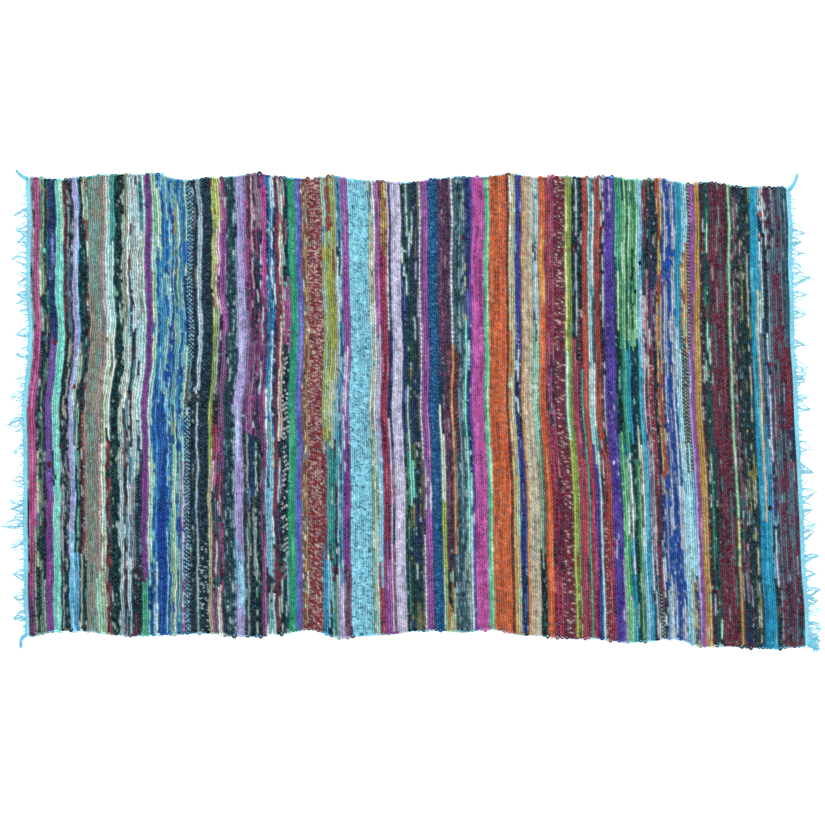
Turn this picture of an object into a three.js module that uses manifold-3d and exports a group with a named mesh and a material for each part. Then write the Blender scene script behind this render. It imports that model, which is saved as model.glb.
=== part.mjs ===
// Rag rug: a flat weave of cotton strips on a thin sky-blue warp, lying on its underside.
// Millimetres. +X runs along the warp, +Y from the near selvedge to the far one, +Z up.

import * as THREE from 'three';
import { mergeVertices } from 'three/addons/utils/BufferGeometryUtils.js';
import Module from 'manifold-3d';

// Woven cloth
const LEFT_LINE = -757; // nominal edges, which the tables below pull in and out
const RIGHT_LINE = 755;
const NEAR_LINE = -440;
const FAR_LINE = 457;
const RIB_COUNT = 168; // each rib is a pair of weft picks
const RIDGE_HEIGHT = 5;
const RIDGE_SPREAD = 0.9; // thick and thin strips
const VALLEY_DEPTH = 1.2;
const RIM_HEIGHT = 3; // where a strip turns round the outermost warp
const RIM_WIDTH = 9;
const LOOP_REACH = 3.2; // most that a turning strip stands out of the selvedge
const CLOTH_PANELS = 9; // straight stretches of a rib from selvedge to selvedge

// Headings and fringe
const GAP = 0.3;
const HEADING_WIDTH = 8;
const HEADING_HEIGHT = 3.2;
const STRAND_COUNT = 84; // at each end
const STRAND_MARGIN = 14; // clear of the corner tassels
const STRAND_WIDTH = 2.4;
const STRAND_TIP_WIDTH = 1.1;
const STRAND_HEIGHT = 2.2;
const STRAND_TIP_HEIGHT = 1.2;
const STRAND_LEAN = 2.8; // most that a tip leans towards the other strand of its pair
const STRAND_KINK = 1.3;
const STRAND_SHORTEST = 12;
const STRAND_LONGEST = 28;

// Corner tassels
const TASSEL_SIDES = 8;
const TASSEL_PLIES = 3;
const TASSEL_PLY_RELIEF = 0.13; // of the radius
const TASSEL_TWIST = 0.5; // radians of twist for each millimetre
const TASSEL_RINGS = 6;
const TASSEL_ROOT_RADIUS = 4.4;
const TASSEL_END_RADIUS = 2.7;
const TASSEL_STRAND_SIDES = 4;
const TASSEL_STRAND_RADIUS = 1.1;
const TASSEL_STRAND_ROOT = 3; // depth of a strand's root in the tassel's head

// Selvedges at even steps from the left end to the right end:
// how far each stands from its nominal line, positive towards +Y.
const SELVEDGES = [
  { far: 5, near: -1 },
  { far: 0, near: 9 },
  { far: 4, near: 11 },
  { far: 9, near: 5 },
  { far: 10, near: 0 },
  { far: 11, near: 2 },
  { far: -2, near: 4 },
  { far: 3, near: 6 },
  { far: 5, near: 1 },
  { far: 11, near: -1 },
  { far: 5, near: 5 },
  { far: 1, near: 13 },
  { far: 6, near: -3 },
  { far: -1, near: 1 },
  { far: -3, near: 4 },
  { far: -7, near: 10 },
  { far: 0, near: 11 },
  { far: 5, near: 8 },
  { far: 4, near: 14 },
  { far: 11, near: 3 },
  { far: 4, near: 0 },
  { far: 6, near: -5 },
  { far: 3, near: -5 },
  { far: 5, near: -12 },
  { far: -1, near: -10 },
  { far: 1, near: -6 },
  { far: -9, near: -20 },
  { far: -6, near: -20 },
  { far: -14, near: -23 },
  { far: -15, near: -24 },
  { far: -16, near: -21 },
];

// Ends of the cloth at even steps from the far selvedge to the near one:
// how far each stands from its nominal line, positive towards +X.
const ENDS = [
  { left: 2, right: -18 },
  { left: 4, right: -14 },
  { left: 3, right: -14 },
  { left: 3, right: -11 },
  { left: 7, right: -10 },
  { left: 3, right: -5 },
  { left: -5, right: -2 },
  { left: -3, right: 2 },
  { left: -3, right: 6 },
  { left: -3, right: 9 },
  { left: -2, right: 12 },
  { left: -2, right: 18 },
  { left: 1, right: 20 },
];

// Knotted strip ends that stand out of a selvedge: place along the rug, from 0 to 1.
const LUMPS = [
  { at: 0.113, far: 3, near: 0 },
  { at: 0.306, far: 6, near: 0 },
  { at: 0.414, far: 0, near: 6 },
  { at: 0.515, far: 0, near: 4 },
  { at: 0.594, far: 0, near: 8 },
  { at: 0.631, far: 4, near: 0 },
  { at: 0.672, far: 4, near: 0 },
  { at: 0.818, far: 5, near: 0 },
  { at: 0.832, far: 5, near: 0 },
];

// Corner tassels: the corner, the headings in degrees at root and end, and the strands.
const TASSELS = [
  { u: 0, v: 0, rootAngle: 158, endAngle: 128, length: 20, strands: 3, spread: 30, strandLength: 6 },
  { u: 1, v: 0, rootAngle: 46, endAngle: 70, length: 20, strands: 3, spread: 18, strandLength: 12 },
  { u: 0, v: 1, rootAngle: 204, endAngle: 272, length: 17, strands: 3, spread: 20, strandLength: 11 },
  { u: 1, v: 1, rootAngle: -18, endAngle: -34, length: 8, strands: 5, spread: 92, strandLength: 11 },
];

const CLOTH_MATERIAL = new THREE.MeshStandardMaterial({ color: 0x6d5a6e, roughness: 0.92, metalness: 0 });
const WARP_MATERIAL = new THREE.MeshStandardMaterial({ color: 0x7ccbe2, roughness: 0.88, metalness: 0 });

// Repeatable unevenness between 0 and 1.
function uneven(index, salt) {
  const wave = Math.sin(index * 12.9898 + salt * 78.233) * 43758.5453;
  return wave - Math.floor(wave);
}

// Smooth curve through one column of a table of evenly spaced rows, at t from 0 to 1.
function along(table, column, t) {
  const last = table.length - 1;
  const place = Math.min(Math.max(t, 0), 1) * last;
  const index = Math.min(Math.floor(place), last - 1);
  const s = place - index;
  const value = (i) => table[Math.min(Math.max(i, 0), last)][column];
  const [a, b, c, d] = [value(index - 1), value(index), value(index + 1), value(index + 2)];
  return b + 0.5 * s * (c - a + s * (2 * a - 5 * b + 4 * c - d + s * (3 * (b - c) + d - a)));
}

// Point of the cloth's outline sheet: u from the left end to the right, v from far to near.
function onCloth(u, v) {
  const left = LEFT_LINE + along(ENDS, 'left', v);
  const right = RIGHT_LINE + along(ENDS, 'right', v);
  const far = FAR_LINE + along(SELVEDGES, 'far', u);
  const near = NEAR_LINE + along(SELVEDGES, 'near', u);
  return new THREE.Vector2(left + (right - left) * u, far + (near - far) * v);
}

// How far a strip's turn stands out of a selvedge at one rib.
function loopReach(rib, side) {
  const place = (rib + 0.5) / RIB_COUNT;
  const lumps = LUMPS.filter((lump) => Math.abs(lump.at - place) * RIB_COUNT < 0.75);
  const lump = lumps.reduce((most, row) => Math.max(most, row[side]), 0);
  return Math.max(lump, LOOP_REACH * uneven(rib, side === 'far' ? 1 : 2));
}

// Closed slab from a grid of top points, with upright walls and a flat underside at z = 0.
function slab(rows) {
  const columnCount = rows[0].length;
  const points = rows.flat();
  const at = (row, column) => row * columnCount + column;
  const triangles = [];
  for (let row = 0; row + 1 < rows.length; row += 1) {
    for (let column = 0; column + 1 < columnCount; column += 1) {
      const [a, b] = [at(row, column), at(row + 1, column)];
      const [c, d] = [at(row + 1, column + 1), at(row, column + 1)];
      triangles.push([a, c, b], [a, d, c]);
    }
  }
  const rim = [];
  const lastRow = rows.length - 1;
  const lastColumn = columnCount - 1;
  for (let row = 0; row < lastRow; row += 1) rim.push(at(row, lastColumn));
  for (let column = lastColumn; column > 0; column -= 1) rim.push(at(lastRow, column));
  for (let row = lastRow; row > 0; row -= 1) rim.push(at(row, 0));
  for (let column = 0; column < lastColumn; column += 1) rim.push(at(0, column));
  const floor = rim.map((index) => {
    points.push(new THREE.Vector3(points[index].x, points[index].y, 0));
    return points.length - 1;
  });
  for (let i = 0; i < rim.length; i += 1) {
    const next = (i + 1) % rim.length;
    triangles.push([rim[i], floor[i], floor[next]], [rim[i], floor[next], rim[next]]);
  }
  const outline = rim.map((index) => new THREE.Vector2(points[index].x, points[index].y));
  for (const [a, b, c] of THREE.ShapeUtils.triangulateShape(outline, [])) {
    triangles.push([floor[a], floor[c], floor[b]]);
  }
  const geometry = new THREE.BufferGeometry().setFromPoints(points);
  geometry.setIndex(triangles.flat());
  return geometry;
}

// Places across the cloth, from 0 at the far selvedge to 1 at the near one, where its lines bend.
function clothColumns() {
  const rimShare = RIM_WIDTH / (FAR_LINE - NEAR_LINE);
  const columns = [0, rimShare];
  for (let panel = 1; panel < CLOTH_PANELS; panel += 1) columns.push(panel / CLOTH_PANELS);
  columns.push(1 - rimShare, 1);
  return columns;
}

function clothGeometry() {
  const columns = clothColumns();
  const rows = [];
  for (let row = 0; row <= 2 * RIB_COUNT; row += 1) {
    const rib = Math.floor(row / 2);
    const onRidge = row % 2 === 1;
    const ridge = RIDGE_HEIGHT - RIDGE_SPREAD * uneven(rib, 3);
    const height = onRidge ? ridge : RIDGE_HEIGHT - RIDGE_SPREAD - VALLEY_DEPTH / 2;
    rows.push(columns.map((v) => {
      const spot = onCloth(row / (2 * RIB_COUNT), v);
      const atRim = v === 0 || v === 1;
      if (atRim && onRidge) spot.y += v === 0 ? loopReach(rib, 'far') : -loopReach(rib, 'near');
      return new THREE.Vector3(spot.x, spot.y, atRim ? RIM_HEIGHT : height);
    }));
  }
  return slab(rows);
}

// One strand's outline, from one side of its root round its tip to the other side.
function strandOutline(root, direction, index, salt) {
  const reach = STRAND_SHORTEST + (STRAND_LONGEST - STRAND_SHORTEST) * uneven(index, salt);
  const towardsPair = index % 2 === 0 ? -1 : 1;
  const lean = towardsPair * STRAND_LEAN * (0.4 + 0.6 * uneven(index, salt + 1));
  const kink = STRAND_KINK * (2 * uneven(index, salt + 2) - 1);
  const half = STRAND_WIDTH / 2;
  const tipHalf = STRAND_TIP_WIDTH / 2;
  const middle = root.x + direction * reach * 0.5;
  const tip = root.x + direction * reach;
  return [
    new THREE.Vector2(root.x, root.y + half),
    new THREE.Vector2(middle, root.y + kink + half),
    new THREE.Vector2(tip, root.y + lean + tipHalf),
    new THREE.Vector2(tip, root.y + lean - tipHalf),
    new THREE.Vector2(middle, root.y + kink - half),
    new THREE.Vector2(root.x, root.y - half),
  ];
}

// Heading strip with its strands, a comb lying flat. direction is -1 at the left end, 1 at the right.
function fringeGeometry(direction) {
  const u = direction < 0 ? 0 : 1;
  const salt = direction < 0 ? 11 : 21;
  const inner = (v) => onCloth(u, v).add(new THREE.Vector2(direction * GAP, 0));
  const outer = (v) => inner(v).add(new THREE.Vector2(direction * HEADING_WIDTH, 0));
  const outline = [];
  for (const v of clothColumns().reverse()) outline.push(inner(v));
  outline.push(outer(0));
  const span = onCloth(u, 0).y - onCloth(u, 1).y;
  const margin = STRAND_MARGIN / span;
  for (let index = 0; index < STRAND_COUNT; index += 1) {
    const v = margin + ((1 - 2 * margin) * (index + 0.5)) / STRAND_COUNT;
    outline.push(...strandOutline(outer(v), direction, index, salt));
  }
  outline.push(outer(1));
  const geometry = new THREE.ExtrudeGeometry(new THREE.Shape(outline), { depth: 1, bevelEnabled: false });
  const position = geometry.attributes.position;
  const strandStart = HEADING_WIDTH + GAP + 0.1;
  for (let i = 0; i < position.count; i += 1) {
    const v = (onCloth(u, 0).y - position.getY(i)) / span;
    const out = direction * (position.getX(i) - onCloth(u, v).x) - strandStart;
    const taper = Math.min(out / 20, 1);
    const strand = STRAND_HEIGHT - (STRAND_HEIGHT - STRAND_TIP_HEIGHT) * taper;
    const height = out > 2 ? strand : HEADING_HEIGHT;
    position.setZ(i, position.getZ(i) > 0.5 ? height : 0);
  }
  return geometry;
}

// Closed tube through rings of points; the rings have equal counts and share a winding.
function loft(rings) {
  const sides = rings[0].length;
  const points = rings.flat();
  const triangles = [];
  for (let ring = 0; ring + 1 < rings.length; ring += 1) {
    for (let side = 0; side < sides; side += 1) {
      const next = (side + 1) % sides;
      const [a, b] = [ring * sides + side, ring * sides + next];
      const [c, d] = [a + sides, b + sides];
      triangles.push([a, b, d], [a, d, c]);
    }
  }
  const lastRing = (rings.length - 1) * sides;
  for (let side = 1; side + 1 < sides; side += 1) {
    triangles.push([0, side + 1, side], [lastRing, lastRing + side, lastRing + side + 1]);
  }
  const geometry = new THREE.BufferGeometry().setFromPoints(points);
  geometry.setIndex(triangles.flat());
  return geometry;
}

// Level unit vector at an angle from +X, in radians.
function towards(angle) {
  return new THREE.Vector2(Math.cos(angle), Math.sin(angle));
}

// Ring of points across a level path, seen from behind: the lowest points rest at z = 0.
function ringAcross(centre, angle, radii) {
  const across = towards(angle + Math.PI / 2);
  const lift = Math.cos(Math.PI / radii.length) * Math.min(...radii);
  return radii.map((radius, side) => {
    const turn = (2 * Math.PI * (side + 0.5)) / radii.length - Math.PI / 2;
    const spot = centre.clone().addScaledVector(across, radius * Math.cos(turn));
    return new THREE.Vector3(spot.x, spot.y, Math.max(0, lift + radius * Math.sin(turn)));
  });
}

function tasselGeometries(tassel) {
  const side = tassel.u === 0 ? -1 : 1;
  const corner = onCloth(tassel.u, tassel.v);
  corner.x += side * (GAP + HEADING_WIDTH);
  const angleAt = (t) => THREE.MathUtils.degToRad(
    tassel.rootAngle + (tassel.endAngle - tassel.rootAngle) * t,
  );
  const step = tassel.length / (TASSEL_RINGS - 1);
  const centre = corner.addScaledVector(towards(angleAt(0)), GAP);
  const rings = [];
  for (let ring = 0; ring < TASSEL_RINGS; ring += 1) {
    const t = ring / (TASSEL_RINGS - 1);
    const radius = TASSEL_ROOT_RADIUS + (TASSEL_END_RADIUS - TASSEL_ROOT_RADIUS) * t;
    const radii = [];
    for (let facet = 0; facet < TASSEL_SIDES; facet += 1) {
      const turn = (2 * Math.PI * facet) / TASSEL_SIDES;
      const ply = Math.cos(TASSEL_PLIES * turn - TASSEL_TWIST * TASSEL_PLIES * step * ring);
      radii.push(radius * (1 + TASSEL_PLY_RELIEF * ply));
    }
    rings.push(ringAcross(centre.clone(), angleAt(t), radii));
    if (ring + 1 < TASSEL_RINGS) {
      centre.addScaledVector(towards(angleAt(t + 0.5 / (TASSEL_RINGS - 1))), step);
    }
  }
  const geometries = [loft(rings)];
  for (let strand = 0; strand < tassel.strands; strand += 1) {
    const share = strand / (tassel.strands - 1) - 0.5;
    const angle = angleAt(1) + THREE.MathUtils.degToRad(tassel.spread) * share;
    const across = towards(angleAt(1) + Math.PI / 2);
    const root = centre.clone().addScaledVector(across, share * TASSEL_END_RADIUS * 1.2);
    const length = tassel.strandLength * (0.75 + 0.5 * uneven(strand, tassel.endAngle));
    const strandRings = [-TASSEL_STRAND_ROOT, length * 0.5, length].map((distance, ring) => {
      const radius = TASSEL_STRAND_RADIUS * (1 - 0.22 * ring);
      const spot = root.clone().addScaledVector(towards(angle), distance);
      return ringAcross(spot, angle, Array(TASSEL_STRAND_SIDES).fill(radius));
    });
    geometries.push(loft(strandRings));
  }
  return geometries;
}

// Solids joined into one with their common stretches removed.
function fuse(wasm, geometries) {
  const solids = geometries.map((geometry) => {
    const bare = geometry.clone();
    bare.deleteAttribute('normal');
    bare.deleteAttribute('uv');
    const merged = mergeVertices(bare, 1e-3);
    const vertProperties = new Float32Array(merged.attributes.position.array);
    const triVerts = new Uint32Array(merged.index.array);
    return new wasm.Manifold(new wasm.Mesh({ numProp: 3, vertProperties, triVerts }));
  });
  const mesh = solids.reduce((whole, solid) => whole.add(solid)).getMesh();
  const geometry = new THREE.BufferGeometry();
  geometry.setAttribute('position', new THREE.BufferAttribute(mesh.vertProperties, mesh.numProp));
  geometry.setIndex(new THREE.BufferAttribute(mesh.triVerts, 1));
  return geometry;
}

function namedMesh(name, geometry, material) {
  const mesh = new THREE.Mesh(geometry, material);
  mesh.name = name;
  return mesh;
}

const wasm = await Module();
wasm.setup();

const rug = new THREE.Group();
rug.add(namedMesh('rug_cloth', clothGeometry(), CLOTH_MATERIAL));
rug.add(namedMesh('end_fringe_left', fringeGeometry(-1), WARP_MATERIAL));
rug.add(namedMesh('end_fringe_right', fringeGeometry(1), WARP_MATERIAL));
TASSELS.forEach((tassel, index) => {
  const geometry = fuse(wasm, tasselGeometries(tassel));
  rug.add(namedMesh(`corner_tassel_${index + 1}`, geometry, WARP_MATERIAL));
});

// The origin is the middle of the whole rug's box, on the floor.
const box = new THREE.Box3().setFromObject(rug);
rug.position.set(-(box.min.x + box.max.x) / 2, -(box.min.y + box.max.y) / 2, 0);

export default rug;
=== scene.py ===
"""A rag rug lying on a pale floor: bands of woven rag weft on a sky-blue warp, with headings,
fringes, selvedge cords, knotted rag ends and four corner tassels."""

import logging
import math
from dataclasses import dataclass, field
from enum import Enum

import bpy
import numpy as np
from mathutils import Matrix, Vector


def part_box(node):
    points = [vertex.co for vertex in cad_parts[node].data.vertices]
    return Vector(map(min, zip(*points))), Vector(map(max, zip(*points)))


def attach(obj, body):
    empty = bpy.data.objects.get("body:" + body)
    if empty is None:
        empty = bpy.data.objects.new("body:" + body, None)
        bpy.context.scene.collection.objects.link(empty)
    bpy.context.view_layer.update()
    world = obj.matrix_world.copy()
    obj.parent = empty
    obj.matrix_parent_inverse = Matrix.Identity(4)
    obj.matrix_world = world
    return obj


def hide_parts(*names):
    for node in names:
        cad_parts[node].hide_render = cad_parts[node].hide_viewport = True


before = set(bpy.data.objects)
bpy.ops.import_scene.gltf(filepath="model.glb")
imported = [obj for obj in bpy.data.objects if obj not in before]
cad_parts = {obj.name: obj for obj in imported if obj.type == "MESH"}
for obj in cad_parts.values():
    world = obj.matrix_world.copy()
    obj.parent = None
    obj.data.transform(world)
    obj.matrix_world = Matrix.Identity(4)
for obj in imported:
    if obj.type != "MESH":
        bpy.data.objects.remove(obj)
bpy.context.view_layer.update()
LOG = logging.getLogger("rag_rug")
MM = 0.001


class Look(Enum):
    """How a rag's colours show along a pick."""

    PLAIN = "plain"
    FLECKED = "flecked"
    STREAKED = "streaked"
    TWISTED = "twisted"
    DASHED = "dashed"
    MIXED = "mixed"


@dataclass(frozen=True)
class Rag:
    """One kind of torn strip: its main colour and how its other colours show."""

    base: str
    second: str = ""
    third: str = ""
    look: Look = Look.PLAIN
    share: float = 0.3
    run_mm: float = 9.0
    more: tuple[str, ...] = ()

    def palette(self) -> np.ndarray:
        """The rag's three or more colours, linear, one row each."""
        names = [self.base, self.second or self.base, self.third or self.second or self.base]
        return np.array([linear(name) for name in (*names, *self.more)])

    def weights(self) -> np.ndarray:
        """How much of a mixed rag each colour takes, summing to 1."""
        parts = np.array([3.0, 1.6, 1.2, *(0.7 for _ in self.more)])
        return parts / parts.sum()


def mixed(base: str, second: str, third: str, *more: str, run_mm: float = 26.0) -> Rag:
    """A patterned rag whose colours follow one another along each pick."""
    return Rag(base, second, third, Look.MIXED, 0.5, run_mm, more)


def linear(code: str) -> list[float]:
    """Linear red, green and blue of a hex colour code.

    Args:
        code: Six hex digits.

    Returns:
        Three values from 0 to 1.
    """
    parts = [int(code[i : i + 2], 16) / 255 for i in (0, 2, 4)]
    return [p / 12.92 if p <= 0.04045 else ((p + 0.055) / 1.055) ** 2.4 for p in parts]


FLECK, STREAK, TWIST, DASH = Look.FLECKED, Look.STREAKED, Look.TWISTED, Look.DASHED

RAGS = {
    "smoke": mixed("A79CA3", "3A363E", "C9C0C4", "77606C", run_mm=14),
    "coal": mixed("1E1E24", "77747C", "14151A", "A8A4A8", run_mm=9),
    "grey_brown": mixed("8A7F78", "2E2A2A", "C4B8AA", "5A4A48", run_mm=14),
    "rose_magenta": Rag("B8467F", "D66FA6", "8F2E5C", STREAK, 0.4, 16),
    "plum": Rag("6A2A5A", "8F3F7C", "3A1C38", STREAK, 0.4, 14),
    "crimson": Rag("A83048", "6E1230", "CC5A6C", STREAK, 0.35, 12),
    "dark_crimson": Rag("7A1230", "A22A44", "3F0E1C", STREAK, 0.4, 10),
    "crimson_rose": Rag("B0405A", "8E2A42", "C86A7C", STREAK, 0.35, 14),
    "sage": mixed("8FA586", "55705A", "C3CFB2", "2E3A34", run_mm=24),
    "sage_grey": Rag("929F90", "5C6B60", "B9C2B0", FLECK, 0.4),
    "moss_speckle": Rag("7F9A74", "3E4A3C", "A9B79C", FLECK, 0.42),
    "dark_green": mixed("183026", "10201B", "4C7A60", "8CA890", run_mm=12),
    "navy": Rag("28285E", "171A46", "6E76B4", STREAK, 0.3, 12),
    "indigo": Rag("40409A", "26266A", "9A9CD0", STREAK, 0.35, 12),
    "purple": Rag("77459A", "5A2E78", "9A6ABA", STREAK, 0.4, 14),
    "orchid": Rag("A54F9E", "8A3D86", "C47ABC", STREAK, 0.35, 18),
    "magenta": Rag("B84690", "CC60A8", "8E3270", STREAK, 0.4, 12),
    "mint": Rag("86DACA", "A4E0CE", "6CC0B0", STREAK, 0.4, 20),
    "pale_mint": Rag("B7E0C6", "95CFB2", "D6EBD8", STREAK, 0.35, 16),
    "lavender": Rag("AC98C8", "8E7EB0", "BCC6E2", STREAK, 0.4, 20),
    "light_blue": Rag("9CC8E4", "6FA6CC", "C3E0F0", STREAK, 0.4, 12),
    "sky_line": Rag("6FB4D6", "4C93BD", "A5D3E8", STREAK, 0.35, 10),
    "black_beige": mixed("26262B", "B4AA98", "15161B", "5F6C72", run_mm=7),
    "dark_speckle": mixed("2A2C30", "8C9296", "15171B", "B4AC9C", run_mm=7),
    "beige_green": mixed("C0C2A6", "26282C", "9BA585", "E0E0CC", "55606A", run_mm=16),
    "brick": Rag("8E2F38", "93333A", "D7B7A6", FLECK, 0.14),
    "dark_red": mixed("6E1A2A", "2A1418", "9A3A44", "8C9098", run_mm=9),
    "black_red": mixed("1E1A20", "6E2430", "101014", "8C9098", run_mm=9),
    "taupe": mixed("9A8F7C", "8A7F6C", "A89C88", "7FA8A0", "5F7A70", run_mm=20),
    "rose": Rag("B88A94", "9C6C78", "D2B0B8", STREAK, 0.35, 14),
    "cream": mixed("D9DCC9", "ECEDE2", "A8C8C8", "6A6058", "BDB89A", run_mm=26),
    "cream_green": mixed("CBD5B8", "9CCBC8", "E3E8D6", "7A8A66", run_mm=24),
    "cream_olive": Rag("BDB89A", "8C8A62", "D9D4BC", FLECK, 0.4),
    "pale_aqua": mixed("BFE0DC", "9CCBC8", "E4F4F0", "4E7C80", run_mm=30),
    "teal": Rag("4E9E98", "2F7C7A", "7ABDB4", STREAK, 0.4, 12),
    "dark_teal": mixed("173036", "12262B", "4C8C94", "A4B8B4", run_mm=10),
    "teal_red": mixed("16262C", "0F181C", "7A2A3A", "5F8C94", "B4BCBC", run_mm=14),
    "black_green": mixed("141D1B", "2C4A3C", "0E1312", "7FA898", "B4C4BC", run_mm=9),
    "beige_olive": Rag("B4AA86", "8A8058", "D5CFB4", STREAK, 0.4, 12),
    "blue_white_plum": mixed("C6DDE2", "4A2238", "E4F0F2", "2C2A34", "8FC4CC", "B8A890", run_mm=40),
    "maroon_black": mixed("3C1722", "17151A", "C4C4C8", "7E3040", "5F8C94", run_mm=20),
    "pale_blue": mixed("C6DDE2", "E4F0F2", "8FC4CC", "5F7C88", "D9DCC9", run_mm=30),
    "purple_magenta": Rag("7E3480", "A04496", "4A205C", STREAK, 0.4, 12),
    "pale_green": mixed("B0D8B4", "8CC0A0", "DDEBD0", "3A6CB8", "BFDCE0", run_mm=28),
    "royal": mixed("23459C", "3F8CC0", "8CC4D0", "16307E", "A8CBB4", run_mm=30),
    "royal_deep": Rag("1C3896", "3466B2", "142C78", STREAK, 0.3, 24),
    "green_ochre": mixed("A9C49A", "7FB8BC", "BFA14A", "2A509A", "D9DCC0", run_mm=22),
    "blue": mixed("4C94BC", "2A5CAE", "8CC4D0", "A9C8A8", "1A3C86", run_mm=26),
    "pink_purple": mixed("A84C86", "8A2C44", "D9B8CC", "2A2438", run_mm=16),
    "black_blue_twist": Rag("15171F", "8FBAD6", "2B4C6A", TWIST, 0.38, 8),
    "brown_black": mixed("2A2022", "141214", "6A5A50", "9CA8A8", run_mm=9),
    "black_white_dash": Rag("17181E", "C8C8C4", "46404A", DASH, 0.3),
    "pale_grey_blue": Rag("AFC3CE", "8CA4B4", "CEDCE2", STREAK, 0.35, 14),
    "black_navy": Rag("1A1A26", "14141E", "4A5266", FLECK, 0.2),
    "white_dots_dark": Rag("1E1F28", "BFC4C6", "101116", FLECK, 0.16),
    "yellow_green": mixed("B4BC5E", "CDD08A", "8F9A4A", "9A3A2E", "DDE0B8", run_mm=22),
    "lime": Rag("A4B048", "869638", "BCCB7C", STREAK, 0.4, 12),
    "pink_white_dash": mixed("8E2F56", "E0C4CC", "2A1A28", "BC5A8E", "7A7A84", run_mm=16),
    "pink_cream": mixed("DCB6B6", "C07A92", "EAD6CC", "4A2A38", run_mm=20),
    "magenta_mauve": mixed("8C3A72", "5A2A48", "B8609A", "2A1A2C", "86788E", run_mm=30),
    "maroon_pink": mixed("5E1C34", "A84C78", "2A1420", "D4A4B4", "3A5A66", run_mm=18),
    "slate_teal_dark": mixed("2C3C46", "1A2830", "6D8C96", "A4B8BC", "3F5A66", run_mm=6),
    "black_brown": mixed("231E20", "5A4038", "9AA09A", "2F6A68", run_mm=14),
    "navy_white": mixed("2A3468", "C9D8E4", "14183A", "6A8CB8", run_mm=18),
    "dusty_mauve": mixed("9A7286", "3A2434", "C4A8B8", "2F5C60", run_mm=16),
    "plum_navy": mixed("3A2440", "1E2450", "8E3B70", "C4CCD4", "17141C", run_mm=20),
    "bright_magenta": Rag("C43C92", "DA62AC", "9A2A70", STREAK, 0.3, 16),
    "blue_streaks": mixed("3A78B0", "C4E0EC", "16204C", "7CBCD8", "E8F0F0", run_mm=30),
    "light_blue_dark": mixed("8CC0D8", "1E2838", "DDE8E4", "3A6C94", "A9B9A0", run_mm=24),
    "maroon": Rag("6A1A2C", "8A2C3C", "3F0F1C", STREAK, 0.4, 12),
    "cream_rose": mixed("D6C8B4", "7A3A4A", "EAE4D4", "A8B8B8", "C28E94", run_mm=22),
    "dark_white_purple": mixed("241F2C", "C4C4CC", "5A3E70", "E0E4E4", "2F5C60", run_mm=16),
    "teal_pink": mixed("1C3A40", "14262B", "B0607C", "9CC4C4", run_mm=16),
    "emerald": Rag("2F8F70", "2F8A5C", "5CB494", STREAK, 0.4, 18),
    "periwinkle": Rag("6A63B8", "554EA0", "8A84CC", STREAK, 0.4, 18),
    "gold_tan": mixed("B08A5A", "8E5A3A", "E4D8BC", "6A7F84", "7A3A34", run_mm=7),
    "brick_flecks": Rag("84292F", "C6A698", "661E26", FLECK, 0.32),
    "green_red_dash": mixed("B4CCB4", "93483A", "DCE2C4", "7FB0BC", "8A9A4A", run_mm=18),
    "olive_yellow": mixed("B4AE4E", "A5C8BC", "CFCB84", "7E7A3C", "DCDCC4", run_mm=40),
    "olive_patch": Rag("A8A748", "939238", "BEBD74", STREAK, 0.4, 24),
    "teal_maroon": mixed("3F8C88", "5A1E2C", "A4D0C8", "1E2A34", run_mm=16),
    "cerulean": Rag("2C97BF", "5CB8D8", "1F7CA4", STREAK, 0.35, 18),
    "steel_blue": mixed("5C90B4", "A4C4D4", "2E4C74", "8C8CA0", run_mm=14),
    "orchid_white": mixed("A060AC", "D9C6DC", "7C3C88", "5A8CB0", run_mm=20),
    "sky_band": Rag("90CEE2", "1E4E6C", "9AD4E8", FLECK, 0.12),
    "cream_white": mixed("DCDACB", "C4B698", "F0EFE6", "5A7A88", "A9C8C8", run_mm=24),
    "pale_lilac": Rag("C3B4D4", "A694C0", "DCD2E6", STREAK, 0.35, 14),
    "gold_dark_red": mixed("B8863A", "7A1E2E", "D9B46A", "3A5C7C", run_mm=12),
    "pink": mixed("D4B4C4", "8A4A74", "ECD0D8", "2A3060", run_mm=20),
    "pale_lilac_pink": Rag("CFC0D8", "D8C8DE", "AFA0C0", STREAK, 0.4, 24),
    "green_olive_streaks": mixed("222E2E", "1E4030", "2A2450", "6B6B3F", "B4C8C8", "8C7A4A", run_mm=30),
    "purple_olive": mixed("34204A", "20203A", "6A5A3C", "A89CB0", run_mm=24),
    "white_line": Rag("DADCDC", "9CA0B0", "", DASH, 0.4),
    "denim": Rag("1D4878", "4F84B0", "143460", FLECK, 0.16),
    "plum_mottled": mixed("5A2A48", "8A4A66", "3A1A2C", "A47A90", run_mm=9),
    "orange_line": Rag("D88A3E", "B8642E", "E8B46A", STREAK, 0.35, 10),
    "slate_teal": mixed("4A606A", "2A363E", "7C98A2", "A9B8B8", run_mm=7),
    "brick_dash": Rag("7E2E3A", "2A1A20", "A8505A", DASH, 0.5),
    "olive_tan": mixed("B4A47A", "4A4A6C", "C9C0A0", "23285C", run_mm=20),
    "violet": mixed("54308F", "6A42AE", "432480", "B8A8D0", run_mm=18),
    "sea_green": Rag("4FA883", "3C8F6C", "6FBF9A", STREAK, 0.35, 18),
    "sea_green_pale": Rag("8FD0A0", "6FBF8C", "ABDDB4", STREAK, 0.35, 18),
    "orange": Rag("D66430", "B84A1E", "E27C4A", STREAK, 0.4, 22),
    "dark_red_bead": Rag("7A1F2C", "4A121E", "A03440", DASH, 0.5),
    "tan_mint": mixed("CDB98E", "A9D6BC", "E6E4D0", "B8863A", "6A8C94", run_mm=22),
    "orange_tan": mixed("C48040", "A9C49A", "8E4A2A", "E0C088", run_mm=18),
    "beige": Rag("C9A98C", "C4BCA6", "D8BC9C", STREAK, 0.45, 18),
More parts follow.
